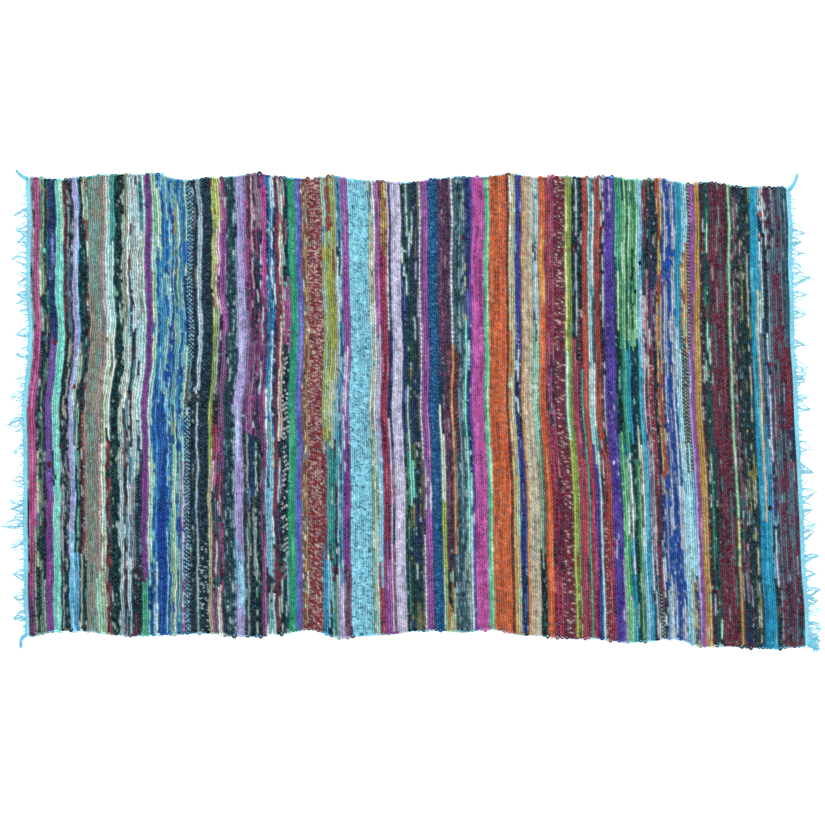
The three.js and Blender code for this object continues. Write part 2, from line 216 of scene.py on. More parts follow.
    "pale_blue_dash": mixed("C4DCE0", "3C4458", "E6EFF0", "8CB8C4", run_mm=14),
    "mint_light": Rag("A9DCC4", "7FBF9C", "D2EEDC", STREAK, 0.35, 12),
    "maroon_specks": Rag("701C2E", "D0B0A0", "4C121E", FLECK, 0.12),
    "maroon_streaks": mixed("6C1E2E", "521420", "84303F", "9A8C8C", "3F6A6C", "2A2028", run_mm=24),
    "rust": Rag("B0442E", "C65A40", "7E2A1E", STREAK, 0.4, 12),
    "aqua_teal": mixed("B0D4D4", "DCEBEA", "5A9CA0", "3C5C68", run_mm=40),
    "maroon_white": mixed("4A1A26", "2A1620", "C4BEC4", "8C3A40", run_mm=12),
    "grey_mauve": mixed("A294A4", "3C3440", "D0C8D4", "7A6A7E", run_mm=20),
    "green_dark_lines": mixed("7CB880", "24483A", "BCE0B4", "3C7C5C", "16201F", run_mm=36),
    "light_green": mixed("7CBE84", "A4D8A0", "3C8C60", "1F3A2E", "CDE8C8", run_mm=36),
    "black_teal": mixed("16201F", "24544C", "0E1414", "6CB098", run_mm=20),
    "pink_maroon": mixed("7A2C38", "2A1C24", "B87A88", "A8472E", "6C8C90", run_mm=18),
    "black_olive": mixed("1C1F28", "2A3450", "6B6B4F", "C0BCA8", run_mm=14),
    "rust_tan": mixed("A8492E", "C9A070", "3A2A30", "D8B850", "3A5CA0", run_mm=18),
    "royal_lilac": mixed("2646A0", "9C9AAC", "B4B2BE", "1A3484", "8C8CA0", "C4C8D4", run_mm=24),
    "turquoise": Rag("2C98BA", "60BACC", "1C7A9C", STREAK, 0.35, 14),
    "deep_turquoise": Rag("1F7FAA", "3A9CBE", "17688F", STREAK, 0.35, 20),
    "pale_sky": mixed("A9DCEB", "CDEBF3", "6CB4CC", "8C9CA8", run_mm=30),
    "black_white_zigzag": Rag("1E1E24", "A8A498", "6A6048", TWIST, 0.36, 7),
    "ochre": Rag("BE8E3A", "BF9247", "D6B06A", STREAK, 0.4, 14),
    "slate_mint": mixed("26403E", "16201F", "A9D6BC", "2F8F63", "8C3A40", run_mm=40),
    "pale_mint_line": Rag("CFE3C4", "A9CFA0", "", STREAK, 0.35, 10),
    "brown_pink_teal": mixed("2A2428", "7A4A54", "8CA0A0", "2F5C60", "B88A92", run_mm=9),
    "charcoal_olive": mixed("2E3235", "1E2123", "8A8444", "5F7C84", "B0AC94", run_mm=18),
    "mix_bright": mixed("1E2A44", "CFD8DC", "D8743A", "8CB8D0", "7A2838", run_mm=12),
    "maroon_navy": mixed("4E1C30", "232A4C", "8C8C98", "241420", run_mm=16),
    "slate": mixed("5A6E7C", "465866", "8494A0", "2E3C48", run_mm=24),
    "slate_maroon": mixed("566A78", "6A2034", "8090A0", "7A283C", "2A2830", "6E2236", run_mm=34),
    "red_knot": Rag("8E1F2A"),
    "black_knot": Rag("1C1C22"),
    "yellow_knot": Rag("A8923C"),
}


@dataclass(frozen=True)
class Run:
    """A stretch of one rag along a pick, up to a share of the rug's width from the far side."""

    rag: str
    until: float


@dataclass(frozen=True)
class Stripe:
    """Neighbouring picks of the same rags: its width along the warp and its runs across the rug."""

    width_mm: float
    runs: tuple[Run, ...]


def stripe(width_mm: float, *parts: str | float) -> Stripe:
    """A stripe from rag names with the places where each gives way to the next.

    Args:
        width_mm: Width along the warp.
        parts: Rag, place, rag, place, and so on, ending with a rag.

    Returns:
        The stripe, its last run reaching the near selvedge.
    """
    places = [*parts[1::2], 1.01]
    return Stripe(width_mm, tuple(Run(str(rag), float(at)) for rag, at in zip(parts[::2], places)))


# From the left end to the right end, each from the far selvedge to the near one.
STRIPES = (
    stripe(3, "smoke", 0.5, "grey_brown", 0.62, "coal", 0.86, "plum"),
    stripe(4, "smoke", 0.3, "rose_magenta", 0.9, "plum"),
    stripe(6, "rose_magenta", 0.95, "plum"),
    stripe(4, "rose_magenta", 0.76, "sage", 0.8, "moss_speckle"),
    stripe(6, "sage", 0.34, "coal", 0.58, "beige_green", 0.84, "black_navy"),
    stripe(4, "sage", 0.3, "dark_teal", 0.6, "taupe", 0.8, "sage"),
    stripe(4, "black_brown", 0.35, "grey_brown", 0.86, "sage_grey"),
    stripe(5, "black_brown", 0.35, "dark_green", 0.86, "sage_grey"),
    stripe(14, "navy", 0.36, "purple", 0.66, "purple_magenta"),
    stripe(7, "mint", 0.62, "dark_speckle", 0.68, "mint"),
    stripe(9, "pale_mint", 0.15, "mint"),
    stripe(7, "dark_red", 0.33, "black_red", 0.6, "smoke", 0.86, "dark_speckle"),
    stripe(7, "dark_speckle", 0.15, "slate", 0.34, "black_beige", 0.55, "dark_speckle"),
    stripe(4, "dark_speckle", 0.4, "black_beige"),
    stripe(8, "lavender", 0.8, "sky_line"),
    stripe(4, "light_blue", 0.85, "sky_line"),
    stripe(
        8, "black_beige", 0.13, "dark_teal", 0.33,
        "beige_green", 0.57, "black_teal", 0.85, "sky_line",
    ),
    stripe(7, "beige_green", 0.12, "black_teal", 0.6, "maroon_black", 0.85, "beige_green"),
    stripe(5, "green_red_dash", 0.13, "pink_cream", 0.32, "dark_red", 0.57, "brick", 0.85, "dark_teal"),
    stripe(4, "teal", 0.12, "taupe", 0.84, "dark_teal"),
    stripe(20, "taupe"),
    stripe(4, "taupe", 0.86, "pale_mint"),
    stripe(6, "rose", 0.83, "pale_mint"),
    stripe(10, "cream_green", 0.12, "pale_aqua", 0.34, "cream_green", 0.86, "cream_olive"),
    stripe(8, "teal", 0.14, "pale_aqua", 0.33, "cream", 0.58, "dark_red"),
    stripe(19, "black_green"),
    stripe(7, "beige_olive", 0.32, "cream", 0.6, "pale_blue"),
    stripe(8, "pale_blue", 0.12, "blue_white_plum", 0.33, "cream", 0.48, "maroon_black"),
    stripe(8, "blue_white_plum", 0.34, "maroon_black", 0.57, "pale_blue", 0.84, "blue_white_plum"),
    stripe(8, "blue_white_plum", 0.46, "pale_blue", 0.66, "grey_mauve", 0.84, "teal_red"),
    stripe(6, "dark_teal", 0.12, "cream", 0.33, "pale_aqua", 0.57, "dark_teal", 0.84, "maroon_black"),
    stripe(5, "pale_aqua", 0.6, "dark_teal", 0.83, "black_green"),
    stripe(12, "purple_magenta", 0.87, "sea_green"),
    stripe(10, "pale_green", 0.4, "pale_aqua", 0.58, "pale_green", 0.82, "royal"),
    stripe(9, "royal", 0.06, "pale_green", 0.2, "royal", 0.85, "light_blue_dark"),
    stripe(9, "royal", 0.3, "blue", 0.45, "royal_deep"),
    stripe(9, "royal", 0.5, "royal_deep"),
    stripe(7, "royal"),
    stripe(12, "green_ochre", 0.56, "pale_green", 0.84, "green_ochre"),
    stripe(11, "blue", 0.35, "royal", 0.6, "blue"),
    stripe(5, "pale_green", 0.2, "navy", 0.34, "pale_green", 0.58, "pink_purple"),
    stripe(11, "black_blue_twist", 0.42, "teal_red", 0.5, "black_blue_twist"),
    stripe(9, "brown_black"),
    stripe(4, "pale_grey_blue", 0.44, "black_navy"),
    stripe(5, "pale_grey_blue", 0.42, "blue_white_plum", 0.52, "pale_grey_blue"),
    stripe(19, "black_navy", 0.84, "white_dots_dark"),
    stripe(8, "yellow_green", 0.34, "lime", 0.62, "beige_olive"),
    stripe(10, "yellow_green", 0.12, "pink_cream", 0.3, "coal", 0.5, "dark_crimson", 0.6, "maroon_pink"),
    stripe(
        12, "pink_white_dash", 0.1, "orchid", 0.33,
        "magenta_mauve", 0.58, "maroon_pink", 0.9, "pink_cream",
    ),
    stripe(22, "slate_teal_dark"),
    stripe(17, "lavender", 0.82, "light_blue", 0.9, "lavender"),
    stripe(10, "magenta_mauve", 0.57, "black_brown"),
    stripe(
        12, "maroon_pink", 0.3, "magenta_mauve", 0.56,
        "navy_white", 0.72, "black_brown", 0.85, "black_navy",
    ),
    stripe(12, "dusty_mauve", 0.12, "plum_navy", 0.58, "black_green"),
    stripe(9, "bright_magenta", 0.22, "magenta_mauve"),
    stripe(17, "blue_streaks", 0.55, "light_blue_dark", 0.86, "dark_speckle", 0.93, "pale_aqua"),
    stripe(7, "maroon"),
    stripe(9, "cream_rose", 0.57, "dark_white_purple", 0.83, "teal_red"),
    stripe(11, "teal_pink", 0.22, "magenta", 0.36, "black_white_dash", 0.86, "teal_pink"),
    stripe(15, "emerald"),
    stripe(11, "periwinkle"),
    stripe(12, "gold_tan"),
    stripe(28, "brick_flecks"),
    stripe(8, "green_red_dash", 0.13, "olive_yellow", 0.58, "brick", 0.84, "cerulean"),
    stripe(
        9, "green_red_dash", 0.16, "olive_patch", 0.42,
        "olive_yellow", 0.6, "teal", 0.82, "light_blue_dark",
    ),
    stripe(8, "yellow_green", 0.2, "olive_patch", 0.36, "cream", 0.56, "teal_maroon"),
    stripe(4, "beige_olive", 0.48, "teal", 0.7, "maroon_black", 0.9, "sage"),
    stripe(11, "steel_blue", 0.15, "light_blue_dark", 0.3, "steel_blue", 0.86, "pale_lilac"),
    stripe(14, "orchid", 0.4, "orchid_white", 0.58, "purple_magenta", 0.86, "plum_mottled"),
    stripe(41, "sky_band"),
    stripe(12, "cream_white", 0.57, "cream_green"),
    stripe(10, "orchid", 0.34, "pale_lilac", 0.6, "light_blue", 0.86, "crimson"),
    stripe(14, "gold_dark_red", 0.14, "crimson", 0.84, "orchid"),
    stripe(4, "pink", 0.16, "white_line", 0.32, "navy", 0.57, "pale_lilac", 0.84, "pink"),
    stripe(4, "navy", 0.6, "maroon_pink", 0.84, "pink"),
    stripe(21, "pale_lilac_pink"),
    stripe(9, "green_olive_streaks", 0.12, "light_blue_dark", 0.2, "navy", 0.58, "dark_green"),
    stripe(10, "green_olive_streaks", 0.6, "mint", 0.7, "green_olive_streaks"),
    stripe(9, "green_olive_streaks"),
    stripe(8, "purple_olive"),
    stripe(4, "white_line", 0.6, "purple_olive", 0.8, "white_line"),
    stripe(14, "orchid", 0.6, "orchid_white", 0.72, "orchid"),
    stripe(21, "denim"),
    stripe(9, "plum_mottled", 0.4, "black_olive", 0.55, "cream", 0.7, "lime", 0.84, "olive_yellow"),
    stripe(16, "plum_mottled", 0.86, "brown_black", 0.94, "orange_tan"),
    stripe(5, "white_line", 0.32, "orange_line", 0.84, "slate_teal"),
    stripe(11, "slate_teal", 0.38, "brick_dash", 0.56, "slate_teal"),
    stripe(12, "slate_teal"),
    stripe(5, "navy", 0.12, "olive_tan", 0.32, "mint", 0.84, "sage_grey"),
    stripe(6, "navy", 0.36, "navy_white", 0.58, "pale_aqua", 0.84, "pale_blue"),
    stripe(4, "violet"),
    stripe(25, "magenta"),
    stripe(5, "sea_green"),
    stripe(5, "sea_green_pale"),
    stripe(35, "orange"),
    stripe(4, "dark_red_bead"),
    stripe(6, "tan_mint", 0.33, "orange_tan", 0.57, "ochre"),
    stripe(7, "tan_mint"),
    stripe(12, "indigo", 0.4, "navy_white", 0.58, "indigo", 0.86, "navy"),
    stripe(5, "orange_line"),
    stripe(19, "beige"),
    stripe(11, "pale_blue_dash", 0.36, "mint_light", 0.58, "sage", 0.84, "black_green"),
    stripe(14, "orange", 0.14, "orange_line", 0.3, "orange"),
    stripe(
        17, "crimson_rose", 0.4, "maroon_pink", 0.56,
        "crimson_rose", 0.66, "dark_crimson", 0.84, "crimson",
    ),
    stripe(22, "maroon_specks"),
    stripe(6, "yellow_green", 0.36, "mint_light", 0.54, "lime"),
    stripe(8, "lime", 0.84, "yellow_green"),
    stripe(11, "teal_red", 0.34, "crimson_rose"),
    stripe(6, "teal_red", 0.3, "brick_dash", 0.6, "rust", 0.88, "crimson"),
    stripe(4, "teal_red", 0.3, "brick_dash", 0.44, "teal", 0.84, "sea_green"),
    stripe(11, "rust", 0.58, "crimson", 0.88, "crimson"),
    stripe(8, "aqua_teal", 0.58, "violet", 0.86, "indigo"),
    stripe(5, "aqua_teal", 0.62, "pale_aqua"),
    stripe(11, "rust", 0.6, "maroon_white", 0.7, "brick"),
    stripe(9, "maroon_white", 0.4, "grey_mauve", 0.56, "rust", 0.8, "crimson"),
    stripe(18, "violet"),
    stripe(3, "violet", 0.84, "pale_lilac"),
    stripe(14, "sea_green", 0.14, "green_dark_lines", 0.36, "black_teal", 0.56, "light_green"),
    stripe(
        8, "light_green", 0.38, "sea_green", 0.56,
        "cerulean", 0.62, "light_blue_dark", 0.84, "turquoise",
    ),
    stripe(8, "green_dark_lines", 0.36, "cerulean", 0.56, "dark_green"),
    stripe(8, "green_dark_lines", 0.35, "black_teal", 0.6, "green_dark_lines"),
    stripe(8, "light_green", 0.34, "dark_teal", 0.6, "cream", 0.8, "light_blue"),
    stripe(9, "light_blue", 0.36, "turquoise"),
    stripe(
        12, "pink_maroon", 0.14, "black_brown", 0.24,
        "pink_cream", 0.58, "grey_mauve", 0.84, "maroon_black",
    ),
    stripe(9, "black_olive", 0.16, "plum_navy", 0.36, "brick", 0.6, "maroon", 0.9, "black_white_zigzag"),
    stripe(7, "black_olive", 0.14, "maroon_navy", 0.36, "coal", 0.6, "maroon_navy", 0.8, "navy_white"),
    stripe(11, "rust_tan", 0.66, "royal_lilac", 0.86, "pale_grey_blue"),
    stripe(27, "royal_lilac"),
    stripe(11, "turquoise", 0.14, "cerulean", 0.34, "pale_sky", 0.9, "pale_sky"),
    stripe(
        13, "pale_sky", 0.13, "orange_tan", 0.33,
        "black_white_zigzag", 0.62, "pale_sky", 0.86, "olive_tan",
    ),
    stripe(5, "black_white_zigzag", 0.34, "lavender"),
    stripe(7, "orchid"),
    stripe(3, "orchid", 0.2, "ochre"),
    stripe(10, "ochre", 0.86, "orange_tan"),
    stripe(8, "maroon_white"),
    stripe(12, "slate_mint"),
    stripe(36, "maroon_streaks"),
    stripe(6, "pale_mint_line", 0.7, "yellow_green", 0.84, "ochre"),
    stripe(20, "brown_pink_teal", 0.84, "maroon_navy"),
    stripe(19, "charcoal_olive"),
    stripe(11, "turquoise", 0.7, "deep_turquoise"),
    stripe(5, "turquoise", 0.22, "beige", 0.75, "deep_turquoise"),
    stripe(8, "mix_bright", 0.15, "pale_blue", 0.32, "slate", 0.57, "turquoise"),
    stripe(9, "mix_bright", 0.14, "black_navy", 0.33, "navy_white", 0.86, "brown_black"),
    stripe(14, "maroon_navy", 0.16, "slate_maroon"),
    stripe(13, "slate_maroon"),
    stripe(16, "slate", 0.3, "slate_maroon", 0.36, "maroon", 0.5, "maroon_navy", 0.6, "slate_maroon"),
)

# How far the stripes stand towards +X of their place at the far selvedge, in millimetres, at
# even steps from the left end to the right end: halfway, lower down and at the near selvedge.
DRIFT_HALFWAY = (0, -1, 0, 0, 1, -1, -6, -6, -6, -4.6, 0)
DRIFT_LOWER = (0, -4, -5, -5, 0, 2, -3.5, 3, -1, -1, -2)
DRIFT_NEAR = (0, -7, -7, -7, -5, -2, -9, -2, -1, -4, -3)

# How far each selvedge stands from its nominal line towards +Y, at even steps from left to right.
FAR_WAVES = (
    *(5, 0, 4, 9, 10, 11, -2, 3, 5, 11, 5, 1, 6, -1, -3, -7),
    *(0, 5, 4, 11, 4, 6, 3, 5, -1, 1, -9, -6, -14, -15, -16),
)
NEAR_WAVES = (
    *(-1, 9, 11, 5, 0, 2, 4, 6, 1, -1, 5, 13, -3, 1, 4, 10),
    *(11, 8, 14, 3, 0, -5, -5, -12, -10, -6, -20, -20, -23, -24, -21),
)

# How far each end stands from its nominal line towards +X, at even steps from far to near.
LEFT_WAVES = (2, 4, 3, 3, 7, 3, -5, -3, -3, -3, -2, -2, 1)
RIGHT_WAVES = (-18, -14, -14, -11, -10, -5, -2, 2, 6, 9, 12, 18, 20)


def along(table: tuple[float, ...], t: np.ndarray | float) -> np.ndarray:
    """Smooth curve through evenly spaced values.

    Args:
        table: The values.
        t: Places from 0 to 1.

    Returns:
        The curve's value at each place.
    """
    values = np.array(table, dtype=float)
    last = len(values) - 1
    place = np.clip(t, 0, 1) * last
    index = np.minimum(np.floor(place), last - 1).astype(int)
    s = place - index
    a, b, c, d = (values[np.clip(index + k, 0, last)] for k in (-1, 0, 1, 2))
    return b + 0.5 * s * (c - a + s * (2 * a - 5 * b + 4 * c - d + s * (3 * (b - c) + d - a)))


def uneven(index: float, salt: float) -> float:
    """Repeatable unevenness between 0 and 1."""
    wave = math.sin(index * 12.9898 + salt * 78.233) * 43758.5453
    return wave - math.floor(wave)


def wander(rng: np.random.Generator, count: int, run: float) -> np.ndarray:
    """Smooth random line.

    Args:
        rng: Seeded source.
        count: Number of values.
        run: Values between two random knots.

    Returns:
        Values from 0 to 1.
    """
    knots = rng.random(int(count / run) + 3)
    place = np.arange(count) / run + rng.random()
    index = place.astype(int)
    ease = 0.5 - 0.5 * np.cos(np.pi * (place - index))
    return knots[index] * (1 - ease) + knots[index + 1] * ease


@dataclass(frozen=True)
class Ripple:
    """Smooth random field over the cloth, from -1 to 1."""

    cells_u: int
    cells_v: int
    seed: int

    def at(self, u: np.ndarray, v: np.ndarray) -> np.ndarray:
        """The field's value at places on the cloth.

        Args:
            u: Shares of the way from the left end to the right end.
            v: Shares of the way from the far selvedge to the near one.

        Returns:
            A value for each place.
        """
        grid = np.random.default_rng(self.seed).uniform(-1, 1, (self.cells_u + 2, self.cells_v + 2))
        row, column = np.clip(u, 0, 1) * self.cells_u, np.clip(v, 0, 1) * self.cells_v
        i, j = row.astype(int), column.astype(int)
        s, t = (0.5 - 0.5 * np.cos(np.pi * (x - k)) for x, k in ((row, i), (column, j)))
        low = grid[i, j] * (1 - t) + grid[i, j + 1] * t
        high = grid[i + 1, j] * (1 - t) + grid[i + 1, j + 1] * t
        return low * (1 - s) + high * s


@dataclass(frozen=True)
class Outline:
    """The cloth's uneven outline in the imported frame, in millimetres."""

    shift_x: float
    shift_y: float
    left_line: float = -757
    right_line: float = 755
    near_line: float = -440
    far_line: float = 457
    gap: float = 0.3
    heading_width: float = 8

    @classmethod
    def from_frame(cls) -> "Outline":
        """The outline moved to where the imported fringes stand.

        Returns:
            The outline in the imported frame.
        """
        nominal = cls(0, 0)
        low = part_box("end_fringe_right")[0]
        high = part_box("end_fringe_left")[1]
        return cls(
            low.x / MM - (nominal.right_line + RIGHT_WAVES[0] + nominal.gap),
            high.y / MM - (nominal.far_line + FAR_WAVES[0]),
        )

    def on_cloth(self, u: np.ndarray | float, v: np.ndarray | float) -> tuple[np.ndarray, np.ndarray]:
        """Place on the cloth.

        Args:
            u: Share of the way from the left end to the right end.
            v: Share of the way from the far selvedge to the near one.

        Returns:
            X and Y.
        """
        left = self.left_line + along(LEFT_WAVES, v)
        right = self.right_line + along(RIGHT_WAVES, v)
        far = self.far_line + along(FAR_WAVES, u)
        near = self.near_line + along(NEAR_WAVES, u)
        return left + (right - left) * u + self.shift_x, far + (near - far) * v + self.shift_y

    def end_line(self, side: int, v: np.ndarray | float, out: float) -> tuple[np.ndarray, np.ndarray]:
        """Line beside an end of the cloth, out by so many millimetres past the gap."""
        x, y = self.on_cloth(0 if side < 0 else 1, v)
        return x + side * (self.gap + out), y


# How the weft has slipped, from broad waves to single beads, and where the painted shade in its gaps is
# darker.
BROAD_SLIP = Ripple(17, 7, 101)
NARROW_SLIP = Ripple(52, 17, 102)
STRAND_SLIP = Ripple(110, 34, 103)
BEAD_SLIP = Ripple(170, 80, 104)
SIDEWAYS_SLIP = Ripple(150, 12, 105)
PAINTED_GAP_SHADE = Ripple(200, 120, 106)


@dataclass
class WeavePlan:
    """Picks of weft with their rags and places, and the warps that they pass over and under."""

    outline: Outline
    pitch_mm: float = 4.15
    columns: int = 390
    run_factor: float = 4.2
    mix_factor: float = 1.2
    main_share: float = 0.5
    speck_share: float = 0.1
    edge_stray: float = 0.025
    lightness: float = 1.06
    pick_tone: float = 0.11
    pair_tone: float = 0.11
    slow_tone: float = 0.2
    bead_tone: float = 0.09
    slow_beads: int = 9
    uneven_mm: float = 0.25
    most_uneven_mm: float = 0.4
    swell_mm: float = 0.8
    drift_places: tuple[float, ...] = (0.03, 0.45, 0.70, 1.0)
    seed: int = 7
    edges: np.ndarray = field(init=False)
    colours: np.ndarray = field(init=False)
    heights: np.ndarray = field(init=False)
    busy: np.ndarray = field(init=False)

    def __post_init__(self) -> None:
        """Lay out the picks and colour their beads."""
        rng = np.random.default_rng(self.seed)
        total = sum(row.width_mm for row in STRIPES)
        edges = [0.0]
        rows = []
        for row in STRIPES:
            count = max(1, round(row.width_mm / self.pitch_mm))
            for _ in range(count):
                edges.append(edges[-1] + row.width_mm / count)
                rows.append(row)
        self.edges = np.array(edges) / total
        patterned = [any(RAGS[run.rag].look is Look.MIXED for run in row.runs) for row in rows]
        self.busy = np.array(patterned)
        self.colours = np.array([self.pick_colours(rng, p, row) for p, row in enumerate(rows)])
        thick = rng.normal(0, self.uneven_mm, (len(rows), 1))
        slow = np.array([wander(rng, self.columns + 1, self.slow_beads) for _ in rows]) - 0.5
        thick = np.clip(thick, -self.most_uneven_mm, self.most_uneven_mm)
        self.heights = thick + self.swell_mm * slow

    @property
    def picks(self) -> int:
        """Number of picks."""
        return len(self.edges) - 1

    @property
    def bead_mm(self) -> float:
        """Distance between two warps."""
        return (self.outline.far_line - self.outline.near_line) / self.columns

    def pick_colours(self, rng: np.random.Generator, pick: int, row: Stripe) -> np.ndarray:
        """Colours of one pick at every warp.

        Args:
            rng: Seeded source.
            pick: The pick's number from the left end.
            row: The stripe that it belongs to.

        Returns:
            Linear colours, one row for each warp.
        """
        count = self.columns + 1
        v = np.arange(count) / self.columns
        colours = np.zeros((count, 3))
        start = -1.0
        for run in row.runs:
            stray = rng.normal(0, self.edge_stray) if run.until < 1 else 0.0
            until = run.until + stray
            here = (v >= start) & (v < until)
            colours[here] = self.rag_colours(rng, pick, RAGS[run.rag])[here]
            start = max(start, until)
        pairs = rng.normal(0, self.pair_tone, count // 2 + 2)
        beads = pairs[(np.arange(count) + pick) // 2 % len(pairs)]
        tone = self.lightness + rng.normal(0, self.pick_tone) + beads
        tone += self.slow_tone * (wander(rng, count, self.slow_beads) - 0.5)
        tone += rng.normal(0, self.bead_tone, count)
        return colours * np.clip(tone, 0.4, 1.7)[:, None]

    def rag_colours(self, rng: np.random.Generator, pick: int, rag: Rag) -> np.ndarray:
        """One rag's colours along a pick.

        Args:
            rng: Seeded source.
            pick: The pick's number from the left end.
            rag: The rag.

        Returns:
            Linear colours, one row for each warp.
        """
        count = self.columns + 1
        palette = rag.palette()
        base, second, third = palette[:3]
        bead = (np.arange(count) + pick) // 2
        run = rag.run_mm * self.run_factor / self.bead_mm
        line = wander(rng, count, run) + 0.18 * rng.random(count)
        other = wander(rng, count, run * 0.8) + 0.18 * rng.random(count)
        turned_over = rng.random() < rag.share * 0.8
        share = rng.uniform(0.55, 0.92) if turned_over else rag.share * rng.uniform(0.1, 0.8)
        chance = rng.random(count + 2)[bead]
        if rag.look is Look.STREAKED:
            first_mix = self.share_mask(line, share)
            second_mix = self.share_mask(other, share * 0.6)
        elif rag.look is Look.MIXED:
            return self.mixed_colours(rng, rag, palette)
        elif rag.look is Look.FLECKED:
            first_mix = (rng.random(count) < rag.share) * rng.uniform(0.6, 1, count)
            second_mix = (rng.random(count) < rag.share) * rng.uniform(0.3, 0.9, count)
        elif rag.look is Look.TWISTED:
            phase = (np.arange(count) * self.bead_mm / rag.run_mm + 0.5 * pick + 0.35 * line) % 1
            first_mix = (phase < rag.share).astype(float)
            second_mix = ((phase > rag.share) & (phase < rag.share + 0.16)).astype(float)
        elif rag.look is Look.DASHED:
            first_mix = ((bead % 2 == 0) & (chance < 2 * rag.share)).astype(float)
            second_mix = (chance > 0.9).astype(float)
        else:
            first_mix = np.zeros(count)
            second_mix = np.zeros(count)
        colours = base + (second - base) * first_mix[:, None]
        return colours + (third - colours) * (second_mix * (1 - 0.6 * first_mix))[:, None]

    def mixed_colours(self, rng: np.random.Generator, rag: Rag, palette: np.ndarray) -> np.ndarray:
        """A patterned rag: runs of one main colour with runs of the others between them.

        Args:
            rng: Seeded source.
            rag: The rag.
            palette: Its linear colours, one row each.

        Returns:
            Linear colours, one row for each warp.
        """
        count = self.columns + 1
        weights = rag.weights()
        main = rng.choice(len(palette), p=weights)
        colours = np.empty((count, 3))
        start = 0
        while start < count:
            length = 1 + int(rng.exponential(rag.run_mm * self.mix_factor / self.bead_mm))
            stays_main = rng.random() < self.main_share
            chosen = main if stays_main else rng.choice(len(palette), p=weights)
            colours[start : start + length] = palette[chosen]
            start += length
        specks = rng.random(count) < self.speck_share
        colours[specks] = palette[rng.choice(len(palette), int(specks.sum()), p=weights)]
        return 0.5 * colours + 0.25 * (np.roll(colours, 1, axis=0) + np.roll(colours, -1, axis=0))

    @staticmethod
    def share_mask(line: np.ndarray, share: float) -> np.ndarray:
        """Soft mask of the lowest share of a line's values."""
        level = np.quantile(line, share)
        return np.clip(0.5 + (level - line) / 0.06, 0, 1)

    def drift(self, u: np.ndarray, v: np.ndarray) -> np.ndarray:
        """How far the weft has slipped along the warp.

        Args:
            u: Shares of the way from the left end to the right end.
            v: Shares of the way from the far selvedge to the near one.

        Returns:
            Millimetres towards +X at each place.
        """
        stops = [along(table, u) for table in ((0, 0), DRIFT_HALFWAY, DRIFT_LOWER, DRIFT_NEAR)]
        slip = np.zeros(np.broadcast(u, v).shape)
        for low, high, a, b in zip(self.drift_places, self.drift_places[1:], stops, stops[1:]):
            share = np.clip((v - low) / (high - low), 0, 1)
            slip = np.where(v >= low, a + (b - a) * share, slip)
        free = np.clip(18 * np.minimum(u, 1 - u), 0, 1)
        loose = 0.4 + 0.75 * np.clip((0.46 - u) / 0.14, 0, 1)
        slow = (1.7 * BROAD_SLIP.at(u, v) + 1.2 * NARROW_SLIP.at(u, v)) * loose
        quick = (1.3 * STRAND_SLIP.at(u, v) + 1.0 * BEAD_SLIP.at(u, v)) * loose
        return (slip + slow) * free + quick * np.clip(60 * np.minimum(u, 1 - u), 0, 1)

    def place(self, u: np.ndarray, v: np.ndarray) -> tuple[np.ndarray, np.ndarray]:
        """X and Y of a point of the weave, slipped as the picks have slipped."""
        x, y = self.outline.on_cloth(u, v)
        return x + self.drift(u, v), y + 0.5 * SIDEWAYS_SLIP.at(u, v) * np.sin(np.pi * v)


